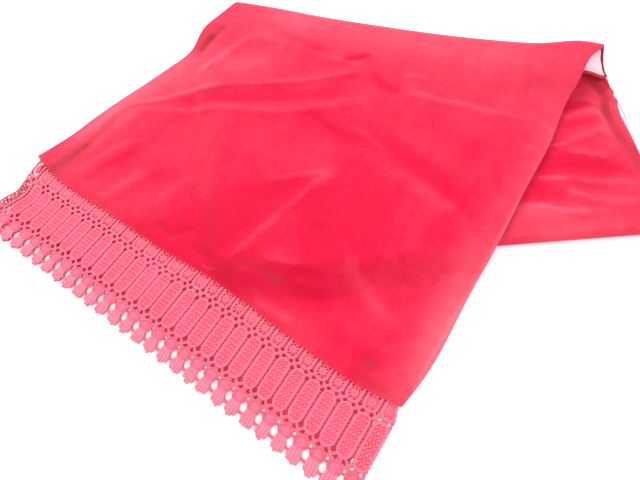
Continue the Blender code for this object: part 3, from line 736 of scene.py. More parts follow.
# Painted shade on the hem turned under the ridge, which lies in shadow inside the loop.
turned = np.arange(front_cloth.shape[0])[:, None] - front_x.shape[0]
past_edge = np.arange(front_cloth.shape[1])[None] - len(left_columns) - FRONT_ACROSS
hem_shade = smooth(turned / HEM_FADE_ROWS) * smooth((past_edge + HEM_FADE_COLUMNS) / HEM_FADE_COLUMNS)
painted_shade = np.maximum(painted_shade, hem_shade)
# A painted highlight along the lifted right edge, where light catches the turned hem.
edge_highlight = np.exp(-((front_cloth[..., 0] / HEM_HIGHLIGHT_WIDTH) ** 2)) * (front_cloth[..., 2] > HEM_LIFT)
sheen_and_shade = sheen_and_shade + HEM_HIGHLIGHT * edge_highlight
front = add_cloth(
    "front_velvet", front_cloth, VELVET_WALL, front_velvet, attributes={"sheen_and_shade": sheen_and_shade, "painted_shade": painted_shade}
)
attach(front, "root")
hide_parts("front_panel")


# Velvet front, lower half
# The other half of the folded cloth, underneath. It shows along the right edge and the seam.
UNDER_EDGE_INSET = 0.0012
UNDER_EDGE_IN = 0.0035
UNDER_WIDTH = 0.44
TUCK_WIDTH = 0.0002
INNER_LOOP_MARGIN = 0.0028
UNDER_LACE_RISE = 0.009
PITCH = 0.016
COLUMNS = 28
SEAM_GAP = 0.0003
u, v = np.meshgrid(np.linspace(0.0, 1.0, 110), np.linspace(0.0, 1.0, 90) ** 1.1)
under_x = read_table(FRONT_LEFT, 1, v) * (1.0 - u)
under_y = v * ridge_y(under_x)
left_start = under_x[:, :1] + HALF_FOLD_LIP + 3.0 * SEAM_GAP
under_x = np.where(under_x < left_start, left_start + TUCK_WIDTH * u, under_x)
under_x = under_x * (1.0 - UNDER_EDGE_INSET / UNDER_WIDTH) - UNDER_EDGE_INSET
edge_bow = read_table(RIGHT_BOW, 1, under_y) - UNDER_EDGE_IN
under_x = under_x + edge_bow * smooth((u - BOW_START) / (1.0 - BOW_START))
seam_line = UNDER_LACE_RISE * (1.0 + under_x[0] / (PITCH * COLUMNS)).clip(0.0, 1.0)
end_line = ridge_y(under_x[-1]) - (INNER_LOOP_BACK + INNER_LOOP_MARGIN) / math.cos(RIDGE_ANGLE)
under_y = seam_line + (end_line - seam_line) * v
under_z = under_height(under_x, under_y) + VELVET_WALL
plain = np.zeros(under_x.shape)
under = add_cloth(
    "under_velvet", np.stack([under_x, under_y, under_z], axis=-1), VELVET_WALL, front_velvet,
    attributes={"sheen_and_shade": plain, "painted_shade": plain},
)
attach(under, "root")
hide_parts("under_panel")


# Velvet back
# The cloth after it has turned over the ridge and come out under the front at the right, velvet
# side up, and is turned under again along a soft lower edge.
HIDDEN_TOP = 0.0090
TURN_RADIUS = 0.00565
TURN_LIP = 0.0060
INNER_LOOP_SHIFT = 0.42
INNER_LOOP_SHARE = 1.034
OUTER_VALLEY_IN = 0.013
OUTER_VALLEY_WIDTH = 0.008
OUTER_VALLEY_DEPTH = 0.0022
VALLEY_START = 0.04
VALLEY_REACH = 0.08
BACK_SWELL = 0.0024
SHOWN_REACH = 0.022
FOLD_REACH = 0.020
LANDING_SHARE = 0.10
LOOP_END_OUT = 0.0125
LOOP_END_BACK = 0.0120
LOOP_END_DROP = 0.0030
LOOP_END_REACH = 0.050
LOOP_END_FLARE = 0.0080
LOOP_BACK_REACH = 0.100
OUTER_BOW = (  # how far up the stack, how far the back's outer edge stands past the stack's line
    (0, 0), (0.05, -0.0009), (0.105, -0.0023), (0.122, -0.0035), (0.132, -0.0039), (0.141, -0.0036),
    (0.147, -0.0028), (0.151, -0.0015), (0.157, -0.0025), (0.169, 0.0017), (0.178, 0.004), (0.187, 0.002),
    (0.2, 0),
)
OUTER_BOW_REACH = 0.030
BACK_CREASES = (  # as the front's
    ((-1, 220, 13, 225, 24, 229, 36, 232, 46, 237, 64, 248, 78, 255), 3, 4, 10),
    ((-3, 257, 9, 260, 17, 263, 31, 270, 56, 280, 74, 292, 92, 297), 2.6, 5, 5.5),
    ((26, 257, 40, 258, 51, 259, 62, 262, 76, 269, 92, 281), 2, 4, 5.5),
    ((11, 298, 28, 305, 39, 309, 56, 314), 2, 5, 5),
    ((-2, 300, 8, 306, 14, 311, 20, 320, 27, 330, 35, 341, 44, 351), 2.4, 5, 5.5),
    ((-1, 342, 10, 354, 21, 361, 28, 369), 1.6, 5, 5),
    ((7, 276, 34, 289, 71, 306), -1.6, 7, 7),
    ((-5, 357, 13, 369), -1.4, 5, 5),
    ((-1, 405, 7, 403, 16, 399, 22, 393, 29, 385, 40, 370, 50, 354), -1.2, 4, 5),
)
BACK_SHEEN_AND_SHADE = (  # painted highlights and painted shade, as the front's
    ((1, 221, 13, 225, 24, 229, 36, 232, 46, 237, 64, 248), 0.413, 2),
    ((1, 217, 21, 221, 46, 229), 0.24, 6),
    ((1, 258, 9, 260, 17, 263, 31, 270), 0.385, 1.7),
    ((31, 269, 56, 280, 74, 292, 88, 296), 0.209, 1.8),
    ((31, 258, 40, 258, 51, 259, 62, 262), 0.319, 2.1),
    ((58, 261, 76, 269, 92, 281), 0.18, 3.5),
    ((16, 300, 28, 305, 39, 309, 54, 314), 0.286, 1.5),
    ((0, 301, 8, 306, 14, 311), 0.33, 1.5),
    ((12, 309, 20, 320, 27, 330, 35, 341, 44, 351), 0.154, 3.2),
    ((1, 344, 10, 354, 21, 361), 0.15, 3.5),
    ((8, 279, 34, 289, 71, 306), -0.266, 12.3),
    ((-4, 358, 13, 369), -0.228, 7.2),
    ((11, 245, 27, 246, 7, 232), -0.171, 10.1),
    ((4, 333, 18, 346, 28, 355), -0.133, 5.8),
    ((17, 195, 57, 225, 99, 258), 0.27, 9),
    ((18, 366, 35, 354, 50, 337), 0.14, 12),
    ((10, 205, 50, 235, 85, 262, 80, 300), 0.16, 30),
    ((17, 407, 31, 389, 51, 366, 75, 337), 0.3, 7),
    ((5, 395, 17, 387, 20, 386), 0.2, 3),
    ((6, 377, 16, 377, 23, 379), 0.16, 2.6),
    ((18, 363, 28, 363, 38, 355, 46, 353), 0.2, 3),
)
BACK_PAINTED_SHADE = (  # painted shade marks, as the front's
    ((-6, 408, 3, 411, 12, 411), 0.95, 4.2),
    ((-1, 405, 7, 403, 16, 399, 22, 393, 28, 390), 0.8, 4.8),
    ((27, 386, 30, 376, 34, 368), 0.6, 4),
    ((24, 385, 32, 371, 44, 356, 55, 345, 66, 336), 0.75, 5.5),
    ((61, 341, 71, 332, 82, 317, 93, 304), 0.7, 5.5),
)


def back_rise(x, y):
    """Height of the back's velvet face over its lowest level: a swell, a valley and its creases."""
    up, inward = to_strip(x, y)
    shown = smooth(x / SHOWN_REACH) * smooth((up - 0.001) / FOLD_REACH)
    valley = np.exp(-(((inward - OUTER_VALLEY_IN) / OUTER_VALLEY_WIDTH) ** 2))
    valley = valley * smooth((up - VALLEY_START) / VALLEY_REACH)
    rise = BACK_SWELL - OUTER_VALLEY_DEPTH * valley + crease_heights(x, y, BACK_CREASES)
    return np.maximum(rise, 0.0) * shown


inward = np.concatenate([np.linspace(0.0, 0.126, 74), np.linspace(0.126, 0.391, 34)[1:]])
near_end = smooth(1.0 - inward / LOOP_END_REACH)
x = -inward * INNER_LOOP_SHARE + LOOP_END_OUT * near_end
drawn_back = smooth(1.0 - inward / LOOP_BACK_REACH)
start_y = ridge_y(x) - INNER_LOOP_BACK / math.cos(RIDGE_ANGLE) - LOOP_END_BACK * drawn_back
level = HIDDEN_TOP + SEAM_GAP
top = ridge_top(x) - INNER_LOOP_DROP - LOOP_END_DROP * drawn_back
rows = []
for turned in np.linspace(0.0, 1.0, 17):
    row = loop_points(x, start_y, top, level, math.pi * turned, 0.0, INNER_LOOP_SHIFT)
    row[:, 0] += LOOP_END_FLARE * smooth(turned) * near_end
    rows.append(row)
landed = rows[-1]
end_x, end_y = from_strip(TURN_RADIUS, inward)
for share in np.linspace(0.0, 1.0, 90)[1:]:
    px = landed[:, 0] + (end_x - landed[:, 0]) * share
    py = landed[:, 1] + (end_y - landed[:, 1]) * share
    up = to_strip(px, py)[0]
    bow = read_table(OUTER_BOW, 1, up) * smooth(1.0 - inward / OUTER_BOW_REACH) * smooth(share / 0.03)
    px = px + bow * EDGE_DIRECTION[0]
    py = py + bow * EDGE_DIRECTION[1]
    rise = back_rise(px, py) * smooth(share / LANDING_SHARE)
    rows.append(np.stack([px, py, level + rise], axis=-1))
inner = TURN_RADIUS - CAD_WALL
centre = level - inner
for turn in np.linspace(0.0, math.pi, 11)[1:]:
    px, py = from_strip(TURN_RADIUS - inner * math.sin(turn), inward)
    rows.append(np.stack([px, py, np.full_like(px, centre + inner * math.cos(turn))], axis=-1))
px, py = from_strip(TURN_RADIUS + TURN_LIP, inward)
rows.append(np.stack([px, py, np.full_like(px, centre - inner)], axis=-1))
back_grid = np.stack(rows)
# Painted highlights along the back's crests and painted shade in its valleys.
back_sheen_and_shade = painted_strokes(back_grid[..., 0], back_grid[..., 1], BACK_SHEEN_AND_SHADE)
# Painted shade in the hollow under the inner loop's rim and along the outer valley.
back_painted_shade = painted_strokes(back_grid[..., 0], back_grid[..., 1], BACK_PAINTED_SHADE)
back = add_cloth(
    "back_velvet", back_grid, CAD_WALL, front_velvet, 1.0, {"sheen_and_shade": back_sheen_and_shade, "painted_shade": back_painted_shade}
)
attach(back, "root")
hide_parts("back_panel")


# Hidden layers
# The rest of the cloth, turned under and out of sight. Only its folded edges show, one over the
# other, along the outer side, so they are one soft body with its edges drawn in between layers.
STACK_RING = (  # in from the outer edge, height, going round from the floor
    (0.007, 0), (0.0056, 0.0002), (0.0049, 0.0008), (0.0048, 0.0015), (0.0054, 0.0023), (0.0078, 0.0028),
    (0.0098, 0.003), (0.0078, 0.0033), (0.004, 0.0036), (0.0028, 0.0042), (0.0026, 0.0049),
    (0.0032, 0.0056), (0.0066, 0.006), (0.0092, 0.0062), (0.0068, 0.0065), (0.0048, 0.0069),
    (0.0042, 0.0076), (0.0046, 0.0084), (0.006, 0.0089), (0.01, 0.009),
)
UNEVEN = 0.0006
EDGE_DEPTH = 0.012
STACK_MARKS = (0.02, 0.05, 0.09, 0.13, 0.18, 0.24, 0.30, 0.35, STACK_WIDTH - 0.006)
stack_flat = [(at, HIDDEN_TOP) for at in STACK_MARKS]
STACK_SIDE = ((0.0035, 0.008), (0.003, 0.0045), (0.0035, 0.001))
stack_side = [(STACK_WIDTH - from_side, at) for from_side, at in STACK_SIDE]
stack_floor = [(at, 0.0) for at in STACK_MARKS[::-1]]
ring_in, ring_height = np.array(list(STACK_RING) + stack_flat + stack_side + stack_floor).T
stack_end = TURN_RADIUS + TURN_LIP + SEAM_GAP
stack_start = np.full_like(ring_in, 0.2)
for _ in range(30):
    x, y = from_strip(stack_start, ring_in)
    stack_start = stack_start + (ridge_y(x) - (RIDGE_TAIL + REAR_MARGIN) / math.cos(RIDGE_ANGLE) - y)
stations = np.linspace(0.0, 1.0, 70)[:, None]
spread = 1.0 + STACK_SPREAD / STACK_WIDTH * stations
uneven = UNEVEN * np.sin(31.0 * stations + 700.0 * ring_height)
uneven = uneven * (ring_in < EDGE_DEPTH) * (ring_height > UNEVEN)
layer_x, layer_y = from_strip(stack_end + (stack_start - stack_end) * stations, ring_in * spread + uneven)
layer_z = np.broadcast_to(ring_height, layer_x.shape)
rings = np.stack([layer_x, layer_y, layer_z], axis=-1)
count = rings.shape[1]
stack_points = np.concatenate([rings.reshape(-1, 3), rings[:1].mean(axis=1), rings[-1:].mean(axis=1)])
quads = grid_faces(rings.shape[0], count)
seam_column = np.arange(rings.shape[0] - 1) * count
closing = seam_column[:, None] + np.array((count - 1, 0, count, 2 * count - 1))
quads = np.concatenate([quads, closing])[:, ::-1]
around = np.arange(count)
after = (around + 1) % count
last = (rings.shape[0] - 1) * count
near_cap = np.stack([after, around, np.full(count, len(stack_points) - 2)], axis=-1)
far_cap = np.stack([last + around, last + after, np.full(count, len(stack_points) - 1)], axis=-1)
stack_faces = np.concatenate([quads[:, (0, 1, 2)], quads[:, (0, 2, 3)], near_cap, far_cap])
# The hidden layers are painted darker all over: painted shade.
layers = add_mesh(
    "hidden_velvet", stack_points, stack_faces, front_velvet,
    {"sheen_and_shade": np.full(len(stack_points), -0.2), "painted_shade": np.full(len(stack_points), 0.1)},
)
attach(layers, "root")
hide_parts("hidden_layers")


# Lining
# Thin pale pink cloth, cut like the velvet and stitched to it all round. It shows only inside the
# open end of the ridge, where the cloth turns back.
LINING_WALL = 0.0006
LINING_INSET = CAD_WALL + LAYER_AIR + SEAM_GAP


def lining_finish():
    """Thin satin: a pale ground with faint rose shadows, fine crossed threads and a little gloss."""
    made = Finish("pale_lining", Roughness=0.42, Sheen_Weight=0.3)
    where = made.place()
    cloud = made.noise(where, 90.0, 3.0, 0.6)
    weave = made.noise(made.stretch(where, (1.0, 0.25, 1.0)), 2400.0, 2.0, 0.6)
    tone = made.blend(((cloud - 0.35) * 2.0).clip(), (0.98, 0.80, 0.84), (0.92, 0.58, 0.70))
    made.feed("Base Color", made.blend(weave * 0.25, tone, (1.0, 0.93, 0.94)))
    made.feed("Normal", made.bump(weave * 0.5 + cloud, 0.0006, 0.6))
    return made


pale_lining = lining_finish()
lining_x = np.linspace(-0.062, -0.0062, 40)
lining_top = ridge_top(lining_x) - LINING_INSET
lining_shift = turn_shift * (1.0 + 2.0 * LINING_INSET / (lining_top - LINING_INSET))
lining_flare = HEM_FLARE * smooth((lining_x + FLARE_REACH) / FLARE_REACH)
lining_rows = []
for turn, tail in [(t, 0.0) for t in np.linspace(0.35, math.pi, 28)] + [(math.pi, 0.002), (math.pi, 0.004)]:
    rumple = 0.0005 * np.sin(7.0 * turn + 90.0 * lining_x) * smooth((math.pi - turn) / 0.5)
    lining_row = loop_points(
        lining_x, ridge_y(lining_x), lining_top - rumple, LINING_INSET, turn, tail, lining_shift
    )
    lining_row[..., 0] += lining_flare * smooth(turn / math.pi)
    lining_rows.append(lining_row)
lining = add_cloth("fold_lining_cloth", np.stack(lining_rows), LINING_WALL, pale_lining)
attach(lining, "root")
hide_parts("fold_lining")


# Guipure lace
# Machine-made cotton lace in one strip: cords stitched over a net, with an open-topped medallion,
# a long beaded oval, a ball and a tassel on every column. Its head is caught under the velvet's
# edge, and it goes round the left fold with the cloth.
TOP_LACE_BASE = 0.0030
LACE_WALL = 0.0010
UNDER_LACE_BASE = 0.0011
LACE_HEAD = -2.0
BAND_END = 59.2
TASSEL_END = 84.6
COLUMN = 16.0
MEDALLION = {"half_across": 5.8, "half_down": 10.65, "corner": 4.6, "middle": 3.0}
OVAL = {"half_across": 5.75, "half_down": 19.3, "corner": 5.75, "middle": 36.7}
CORD_HALF = 1.08
CROSSINGS = (16.0, 58.7)
BEAD_STEP_ACROSS = 3.35
BEAD_STEP_DOWN = 3.65
BALL_MIDDLE = 64.9
BALL_HALF_ACROSS = 5.35
BALL_HALF_DOWN = 4.75
STRANDS = 4
TASSEL_TOP = 67.6
TASSEL_HALF = 4.9
TASSEL_BAR = 75.1
STRAND_END = 82.4
BALL_REACH = 4.6
OPEN_STEP = 2.9
LACE_LOWEST = 0.0011
LACE_SWELL = 0.00022
SWAY_START = 0.392
SWAY_REACH = 0.068
DRAWN_LEFT = 0.026
DRAWN_MORE = 0.019
END_PULL = 0.0034
NO_THREAD = -9.0
NET_HEIGHT = -0.35
FLOWER_MIDDLE = 6.4
PETALS = 9
HOLE_RING = 4.35
FOLD_PATH = (  # x, height of the lace's outer face where it turns under at the left fold
    (-0.44, 0.003), (-0.4483, 0.0031), (-0.453, 0.0038), (-0.458, 0.0044), (-0.4625, 0.004),
    (-0.4645, 0.0027), (-0.4625, 0.0013), (-0.4575, 0.0005), (-0.449, 0.0004),
)
FOLD_SWAY = (  # how far down the lace, how far the fold is moved along x
    (0, -0.007), (0.009, -0.0058), (0.02, -0.0016), (0.033, 0.0016), (0.048, -0.0036), (0.06, -0.0058),
    (0.09, -0.0045),
)


def line_distance(across, down, shape):
    """Signed distance to a rounded rectangle's line, in millimetres, negative inside it."""
    past_side = across - (shape["half_across"] - shape["corner"])
    past_end = np.abs(down - shape["middle"]) - (shape["half_down"] - shape["corner"])
    outside = np.hypot(np.maximum(past_side, 0.0), np.maximum(past_end, 0.0))
    return outside + np.minimum(np.maximum(past_side, past_end), 0.0) - shape["corner"]


def bell(distance, width):
    return np.exp(-((distance / width) ** 2))


def lace_field(along, down):
    """The lace at a place along and down it, in millimetres: how far inside thread it lies, negative
    in a hole, and how high the thread stands over the net. Each kind of thread gives both, and
    the largest holds."""
    column = np.floor(along / COLUMN)
    draw = np.random.default_rng(11).uniform(-1.0, 1.0, (64, 8))
    chance = draw[column.astype(int) % 64]
    sway = 0.30 * np.sin(0.11 * down + 3.0 * chance[..., 0])
    sway = sway + 0.14 * np.sin(0.37 * down + 5.0 * chance[..., 1])
    x = along - COLUMN * (column + 0.5)
    x = x - sway * smooth((7.6 - np.abs(x)) / 3.0)
    across = np.abs(x)
    inside = np.full_like(x, NO_THREAD)
    height = np.full_like(x, NET_HEIGHT)

    def lay(depth, rise):
        nonlocal inside, height
        height = np.where(depth > 0.0, np.maximum(height, rise), height)
        inside = np.maximum(inside, depth)

    oval = dict(OVAL, half_across=OVAL["half_across"] + 0.18 * chance[..., 2])
    for shape in (MEDALLION, oval):
        edge = line_distance(across, down, shape)
        depth = CORD_HALF - np.abs(edge)
        lay(depth, 0.85 * np.clip(1.0 - (edge / CORD_HALF) ** 4, 0.0, 1.0))

    # The oval's filling: a close net with rows of beads; open ladders past the left fold
    edge = line_distance(across, down, oval)
    opened = column >= COLUMNS
    row = (down - OVAL["middle"]) / BEAD_STEP_DOWN
    bead_down = (row - np.round(row)) * BEAD_STEP_DOWN
    file = x / BEAD_STEP_ACROSS + 0.10 * np.sin(2.1 * np.round(row) + 4.0 * chance[..., 4])
    bead_across = (file - np.round(file)) * BEAD_STEP_ACROSS
    size = 0.72 + 0.28 * np.sin(5.3 * np.round(file) + 3.7 * np.round(row) + 9.0 * chance[..., 1])
    beads = size * bell(np.hypot(bead_across, bead_down), 0.85 + 0.25 * size)
    half_across = np.abs(bead_across) - BEAD_STEP_ACROSS / 2
    half_down = np.abs(bead_down) - BEAD_STEP_DOWN / 2
    between = bell(np.hypot(half_across, half_down), 0.60)
    beside = np.hypot(half_across, bead_down)
    below = np.hypot(bead_across, half_down)
    dips = bell(beside, 0.62) + bell(below, 0.62)
    fill = 0.02 + 1.45 * beads + 0.30 * between * (1.4 - size) - 1.05 * dips * size
    rung = (down + 0.35 * x + 0.6 * np.sin(1.3 * down + 0.8 * x)) / OPEN_STEP
    strut = (down - 0.55 * x + 0.5 * np.sin(0.9 * down)) / (1.4 * OPEN_STEP)
    off_rung = np.minimum(np.abs(rung - np.round(rung)), 1.4 * np.abs(strut - np.round(strut))) * OPEN_STEP
    within = np.where(column == 0, np.minimum(-edge, np.minimum(beside, below) - 0.50), -edge)
    within = np.where(opened, np.minimum(-edge, 0.44 - off_rung), within)
    lay(within, fill - 0.25 * smooth((edge + 1.7) / 0.8))

    # The medallion's filling: a flower with petals, on a net with a ring of small holes
    edge = line_distance(across, down, MEDALLION)
    reach = np.hypot(x, down - FLOWER_MIDDLE)
    angle = np.arctan2(down - FLOWER_MIDDLE, x) + 0.4 * chance[..., 5]
    petals = np.cos(angle * PETALS)
    petal_turn = ((angle * PETALS / (2 * math.pi)) % 1.0 - 0.5) * 2 * math.pi / PETALS
    hole = np.hypot(reach * np.cos(petal_turn) - HOLE_RING, reach * np.sin(petal_turn))
    hole = 0.50 + 0.22 * chance[..., 6] - hole
    corner_hole = 0.80 - np.hypot(across - 3.9, down - 0.9)
    side_hole = 0.62 - np.hypot(across - 2.4, down - 11.7)
    holes = np.maximum(np.maximum(hole, corner_hole), side_hole)
    holes = np.where(opened, 3.6 - np.abs(reach - 5.6), holes)
    lay(np.minimum(-edge, -holes), 0.10 + 0.14 * petals * bell(reach - 3.6, 1.0))
    flower = 0.26 + 0.40 * bell(reach - 2.15, 0.75) + 0.25 * bell(reach, 0.45)
    lay(3.25 + 0.22 * petals - reach, flower - 0.40 * bell(reach - 0.85, 0.4) + 0.10 * petals)

    # Edgings along the sides of medallions and ovals, and the short bars that join them
    for middle, half, step in ((OVAL["middle"], 14.4, BEAD_STEP_DOWN), (4.6, 6.2, 3.1)):
        off = np.abs(down - middle)
        net = np.minimum(np.minimum(7.62 - across, across - 5.9), half - off)
        lay(np.where(opened, NO_THREAD, net), 0.02)
        bar = (down - middle) / step
        bar = np.abs(bar - np.round(bar)) * step
        lay(np.minimum(np.minimum(0.34 - bar, half + 0.6 - off), across - 6.4), -0.22)

    # Crossings where four motifs meet, and the links between a motif and the next one down
    for middle in CROSSINGS:
        aside = COLUMN / 2 - across
        off = np.abs(down - middle)
        cross = np.abs(aside - off) * math.sqrt(0.5)
        far = np.hypot(aside, off)
        lay(np.minimum(1.45 - cross, 5.0 - far), 0.45 * bell(cross, 1.2))
        lay(2.0 - far, 0.60 * bell(far, 1.8))
        lay(np.minimum(2.5 - across, 2.4 - off), 0.10 + 0.2 * np.cos(3.0 * x))

    # Ball with a thin ring round it, and the pinch of thread between two balls
    ball = np.hypot(x / BALL_HALF_ACROSS, (down - BALL_MIDDLE) / BALL_HALF_DOWN)
    disc = 0.28 + 0.26 * (1.0 - np.clip(ball, 0.0, 1.0) ** 8) + 0.05 * np.cos(2.6 * x)
    lay((0.98 - ball) * BALL_REACH, disc - 0.50 * bell((ball - 0.82) * BALL_REACH, 0.30))
    lay((1.28 - ball) * BALL_REACH, -0.30)
    lay((0.13 - np.abs(ball - 1.16)) * BALL_REACH, 0.50 * bell((ball - 1.16) * BALL_REACH, 0.5))
    lay(np.minimum(0.62 - np.abs(down - BALL_MIDDLE - 0.3), across - 6.0), 0.15)

    # Tassel of strands laid side by side, with ragged round ends, joined to its neighbours by a bar
    lean = 0.06 + 0.09 * chance[..., 6]
    xt = x + lean * (down - 69.0)
    half = TASSEL_HALF + 0.15 * chance[..., 7] + 1.15 * smooth((down - 69.6) / 5.0)
    half = half - 0.5 * smooth((down - 77.0) / 5.0)
    place = (xt / half + 1.0) * STRANDS / 2.0
    strand = np.clip(np.floor(place), 0, STRANDS - 1)
    off = np.abs(place - strand - 0.5) * 2.0
    ragged = 0.8 * np.sin(2.4 * column + 1.9 * strand)
    end = STRAND_END + ragged - 1.5 * (np.abs(strand - (STRANDS - 1) / 2.0) > 1.0) - 1.1 * off**3
    slit = (1.02 - off) * half / STRANDS + 2.5 * smooth((75.5 - down) / 3.0)
    depth = np.minimum(np.minimum(half - np.abs(xt), end - down), np.minimum(down - TASSEL_TOP, slit))
    lay(depth, -0.05 + 1.35 * np.sqrt(np.clip(1.0 - off**2, 0.0, 1.0)) * smooth((down - 67.0) / 4.0))
    lay(np.minimum(1.1 - np.abs(down - TASSEL_BAR), across - 4.6), 0.30 * bell(down - TASSEL_BAR, 0.9))

    # The strip's own end at the right: a narrow selvedge with small scallops instead of the bars
    scallop = 0.9 + 0.25 * np.sin(2.0 * math.pi * down / BEAD_STEP_DOWN)
    cut_end = (along < 2.6) & (down < BAND_END)
    lay(np.where(cut_end & (down < 57.0), np.minimum(along - scallop, 2.4 - along), NO_THREAD), 0.25)
    inside = np.where(cut_end, np.minimum(inside, along - scallop), inside)
    return inside, height


def top_place(along, down, height):
    """The upper lace: flat at the net's height as far as the fold, then round the fold's own path.

    Past the last flat point the path is followed by its length, and thread stands out along the
    path's normal. The fold sways to the left and right on its way down, and the lace's head
    follows the seam's bow, less and less down to where `drawn` ends.
    """
    path = np.array(FOLD_PATH)
    steps = np.hypot(*np.diff(path, axis=0).T)
    marks = np.concatenate([[0.0], np.cumsum(steps)]) - path[0, 0]
    fine = np.linspace(marks[0], marks[-1], 60)
    curve_x = np.interp(fine, marks, path[:, 0])
    curve_z = np.interp(fine, marks, path[:, 1])
    for _ in range(4):
        curve_x[1:-1] = (curve_x[:-2] + 2 * curve_x[1:-1] + curve_x[2:]) / 4
        curve_z[1:-1] = (curve_z[:-2] + 2 * curve_z[1:-1] + curve_z[2:]) / 4
    slope = np.unwrap(np.arctan2(np.gradient(curve_z, fine), -np.gradient(curve_x, fine)))
    flat = along < marks[0]
    x = np.where(flat, -along, np.interp(along, fine, curve_x))
    z = np.where(flat, TOP_LACE_BASE, np.interp(along, fine, curve_z))
    tilt = np.where(flat, 0.0, np.interp(along, fine, slope))
    relief = height * (0.25 + 0.75 * np.clip(np.cos(tilt), 0.0, 1.0))
    sway = read_table(FOLD_SWAY, 1, np.maximum(down, 0.0)) * smooth((along - SWAY_START) / SWAY_REACH)
    lift = slow_waves(-along, -down, LACE_SWELL, CLOTH_SWELLS) * smooth((marks[0] - along) / 0.03)
    drawn = DRAWN_LEFT + DRAWN_MORE * smooth((x + sway + 0.43) / 0.03)
    lifted = read_table(SEAM_LIFT, 1, x + sway) * (1.0 - smooth((down + 0.002) / drawn))
    pulled = END_PULL * (1.0 - smooth(down / 0.013)) * smooth(1.0 - along / PITCH)
    px = x + sway - pulled - np.sin(tilt) * relief
    pz = z + lift + np.cos(tilt) * relief
    return np.stack([px, lifted - down, np.maximum(pz, LACE_LOWEST)], axis=-1)


def under_place(along, down, height):
    """The lower lace: flat on the floor, right behind the upper one as the camera sees it, and its
    head turned a little towards the velvet at its right end."""
    from_fold = np.maximum(0.0, 1.0 - along / (PITCH * COLUMNS))
    turned = UNDER_LACE_RISE * from_fold * (1.0 - smooth(down / 0.045))
    x = -along - UNDER_SPREAD * (along + CAMERA_AT[0])
    return np.stack([x, turned - down, UNDER_LACE_BASE + 0.35 * height], axis=-1)


def add_lace(name, alongs, downs, place, wall, finish, filled=False):
    """A lace sheet: the grid's cells that lie in thread are kept, the edges of the holes are moved
    onto the thread's own edge along the slope of the field, and the sheet is given a thickness."""
    a, d = np.meshgrid(alongs, downs)
    inside, height = lace_field(a, d)
    if filled:
        inside = np.maximum(inside, 1.0)
    kept = (inside[:-1, :-1] + inside[1:, :-1] + inside[:-1, 1:] + inside[1:, 1:]) > 0.0
    slope_down, slope_along = np.gradient(inside, downs, alongs)
    steep = np.maximum(slope_down**2 + slope_along**2, 0.25)
    padded = np.pad(kept, 1, constant_values=True)
    whole = padded[:-1, :-1] & padded[1:, :-1] & padded[:-1, 1:] & padded[1:, 1:]
    move = np.where(whole, 0.0, np.clip(inside / steep, -0.42, 0.42))
    a = a - move * slope_along
    d = d - move * slope_down
    height = np.where(whole, height, np.minimum(height, -0.15))
    points = place(a / 1000.0, d / 1000.0, np.maximum(height, NET_HEIGHT) / 1000.0)
    faces = grid_faces(*a.shape)[kept.ravel()]
    used, faces = np.unique(faces, return_inverse=True)
    relief = height.ravel()[used] - UNDER_SHADE * filled
    made = add_mesh(name, points.reshape(-1, 3)[used], faces.reshape(-1, 4), finish, {"relief": relief})
    solid = made.modifiers.new("thread_thickness", "SOLIDIFY")
    solid.thickness = wall
    solid.offset = -1.0
    return made


def lace_finish():
    """Matt cotton: painted shade deep between the threads, a painted highlight pale on the raised cords,
    with the stitches' fine ribs; the lower lace is painted darker still with painted shade.
    """
    made = Finish("rose_lace_thread", Roughness=0.72, Sheen_Weight=0.25, Sheen_Roughness=0.5)
    made.shader.inputs["Specular IOR Level"].default_value = 0.18
    where = made.place()
    relief = made.attribute("relief")
    ribs = made.noise(where, 1150.0, 2.0, 0.65)
    patches = made.noise(where, 38.0, 2.0, 0.5)
    pits = made.noise(where, 640.0, 2.0, 0.5)
    low = ((relief + 0.30 + (pits - 0.5) * 0.7) * 1.9).clip()
    high = ((relief - 0.30 + (ribs - 0.5) * 0.3) * 1.1).clip()
    tone = made.blend(low, (0.40, 0.013, 0.034), (0.88, 0.092, 0.160))
    tone = made.blend(high, tone, (0.96, 0.225, 0.315))
    tone = made.blend(((ribs - 0.5) * 1.3 + 0.32).clip() * 0.35, tone, (0.80, 0.060, 0.115))
    tone = made.blend((patches * 0.4).clip(), tone, (0.92, 0.150, 0.230))
    made.feed("Base Color", tone)
    made.feed("Normal", made.bump(ribs, 0.0004, 0.8))
    return made


lace_thread = lace_finish()
BAND_DOWNS = np.concatenate(
    [np.arange(LACE_HEAD, 19.0, 0.52), np.arange(19.0, 54.0, 0.66), np.linspace(54.2, BAND_END, 11)]
)
FRINGE_DOWNS = np.linspace(BAND_END, TASSEL_END, 52)
TURN_LENGTH = 31.0
UNDER_SPREAD = 0.006
UNDER_LACE_WALL = 0.0008
UNDER_SHADE = 0.9
whole_way = COLUMN * COLUMNS
right_alongs = np.linspace(0.0, whole_way / 2, 14 * 30 + 1)
left_alongs = np.linspace(whole_way / 2, whole_way + TURN_LENGTH, 14 * 26 + 50)
fringe_alongs = np.linspace(0.0, whole_way + COLUMN, 29 * 29 + 1)
under_alongs = np.linspace(COLUMN, whole_way - 2.5, 27 * 17)
under_downs = np.linspace(LACE_HEAD, BAND_END, 66)
under_fringe_downs = np.linspace(BAND_END, TASSEL_END, 27)
lace_right = add_lace("lace_right_half", right_alongs, BAND_DOWNS, top_place, LACE_WALL, lace_thread)
lace_left = add_lace("lace_left_half", left_alongs, BAND_DOWNS, top_place, LACE_WALL, lace_thread)
fringe_top = add_lace("fringe_top", fringe_alongs, FRINGE_DOWNS, top_place, LACE_WALL, lace_thread)
lace_under = add_lace(
    "lace_under_half", under_alongs, under_downs, under_place, UNDER_LACE_WALL, lace_thread, True
)
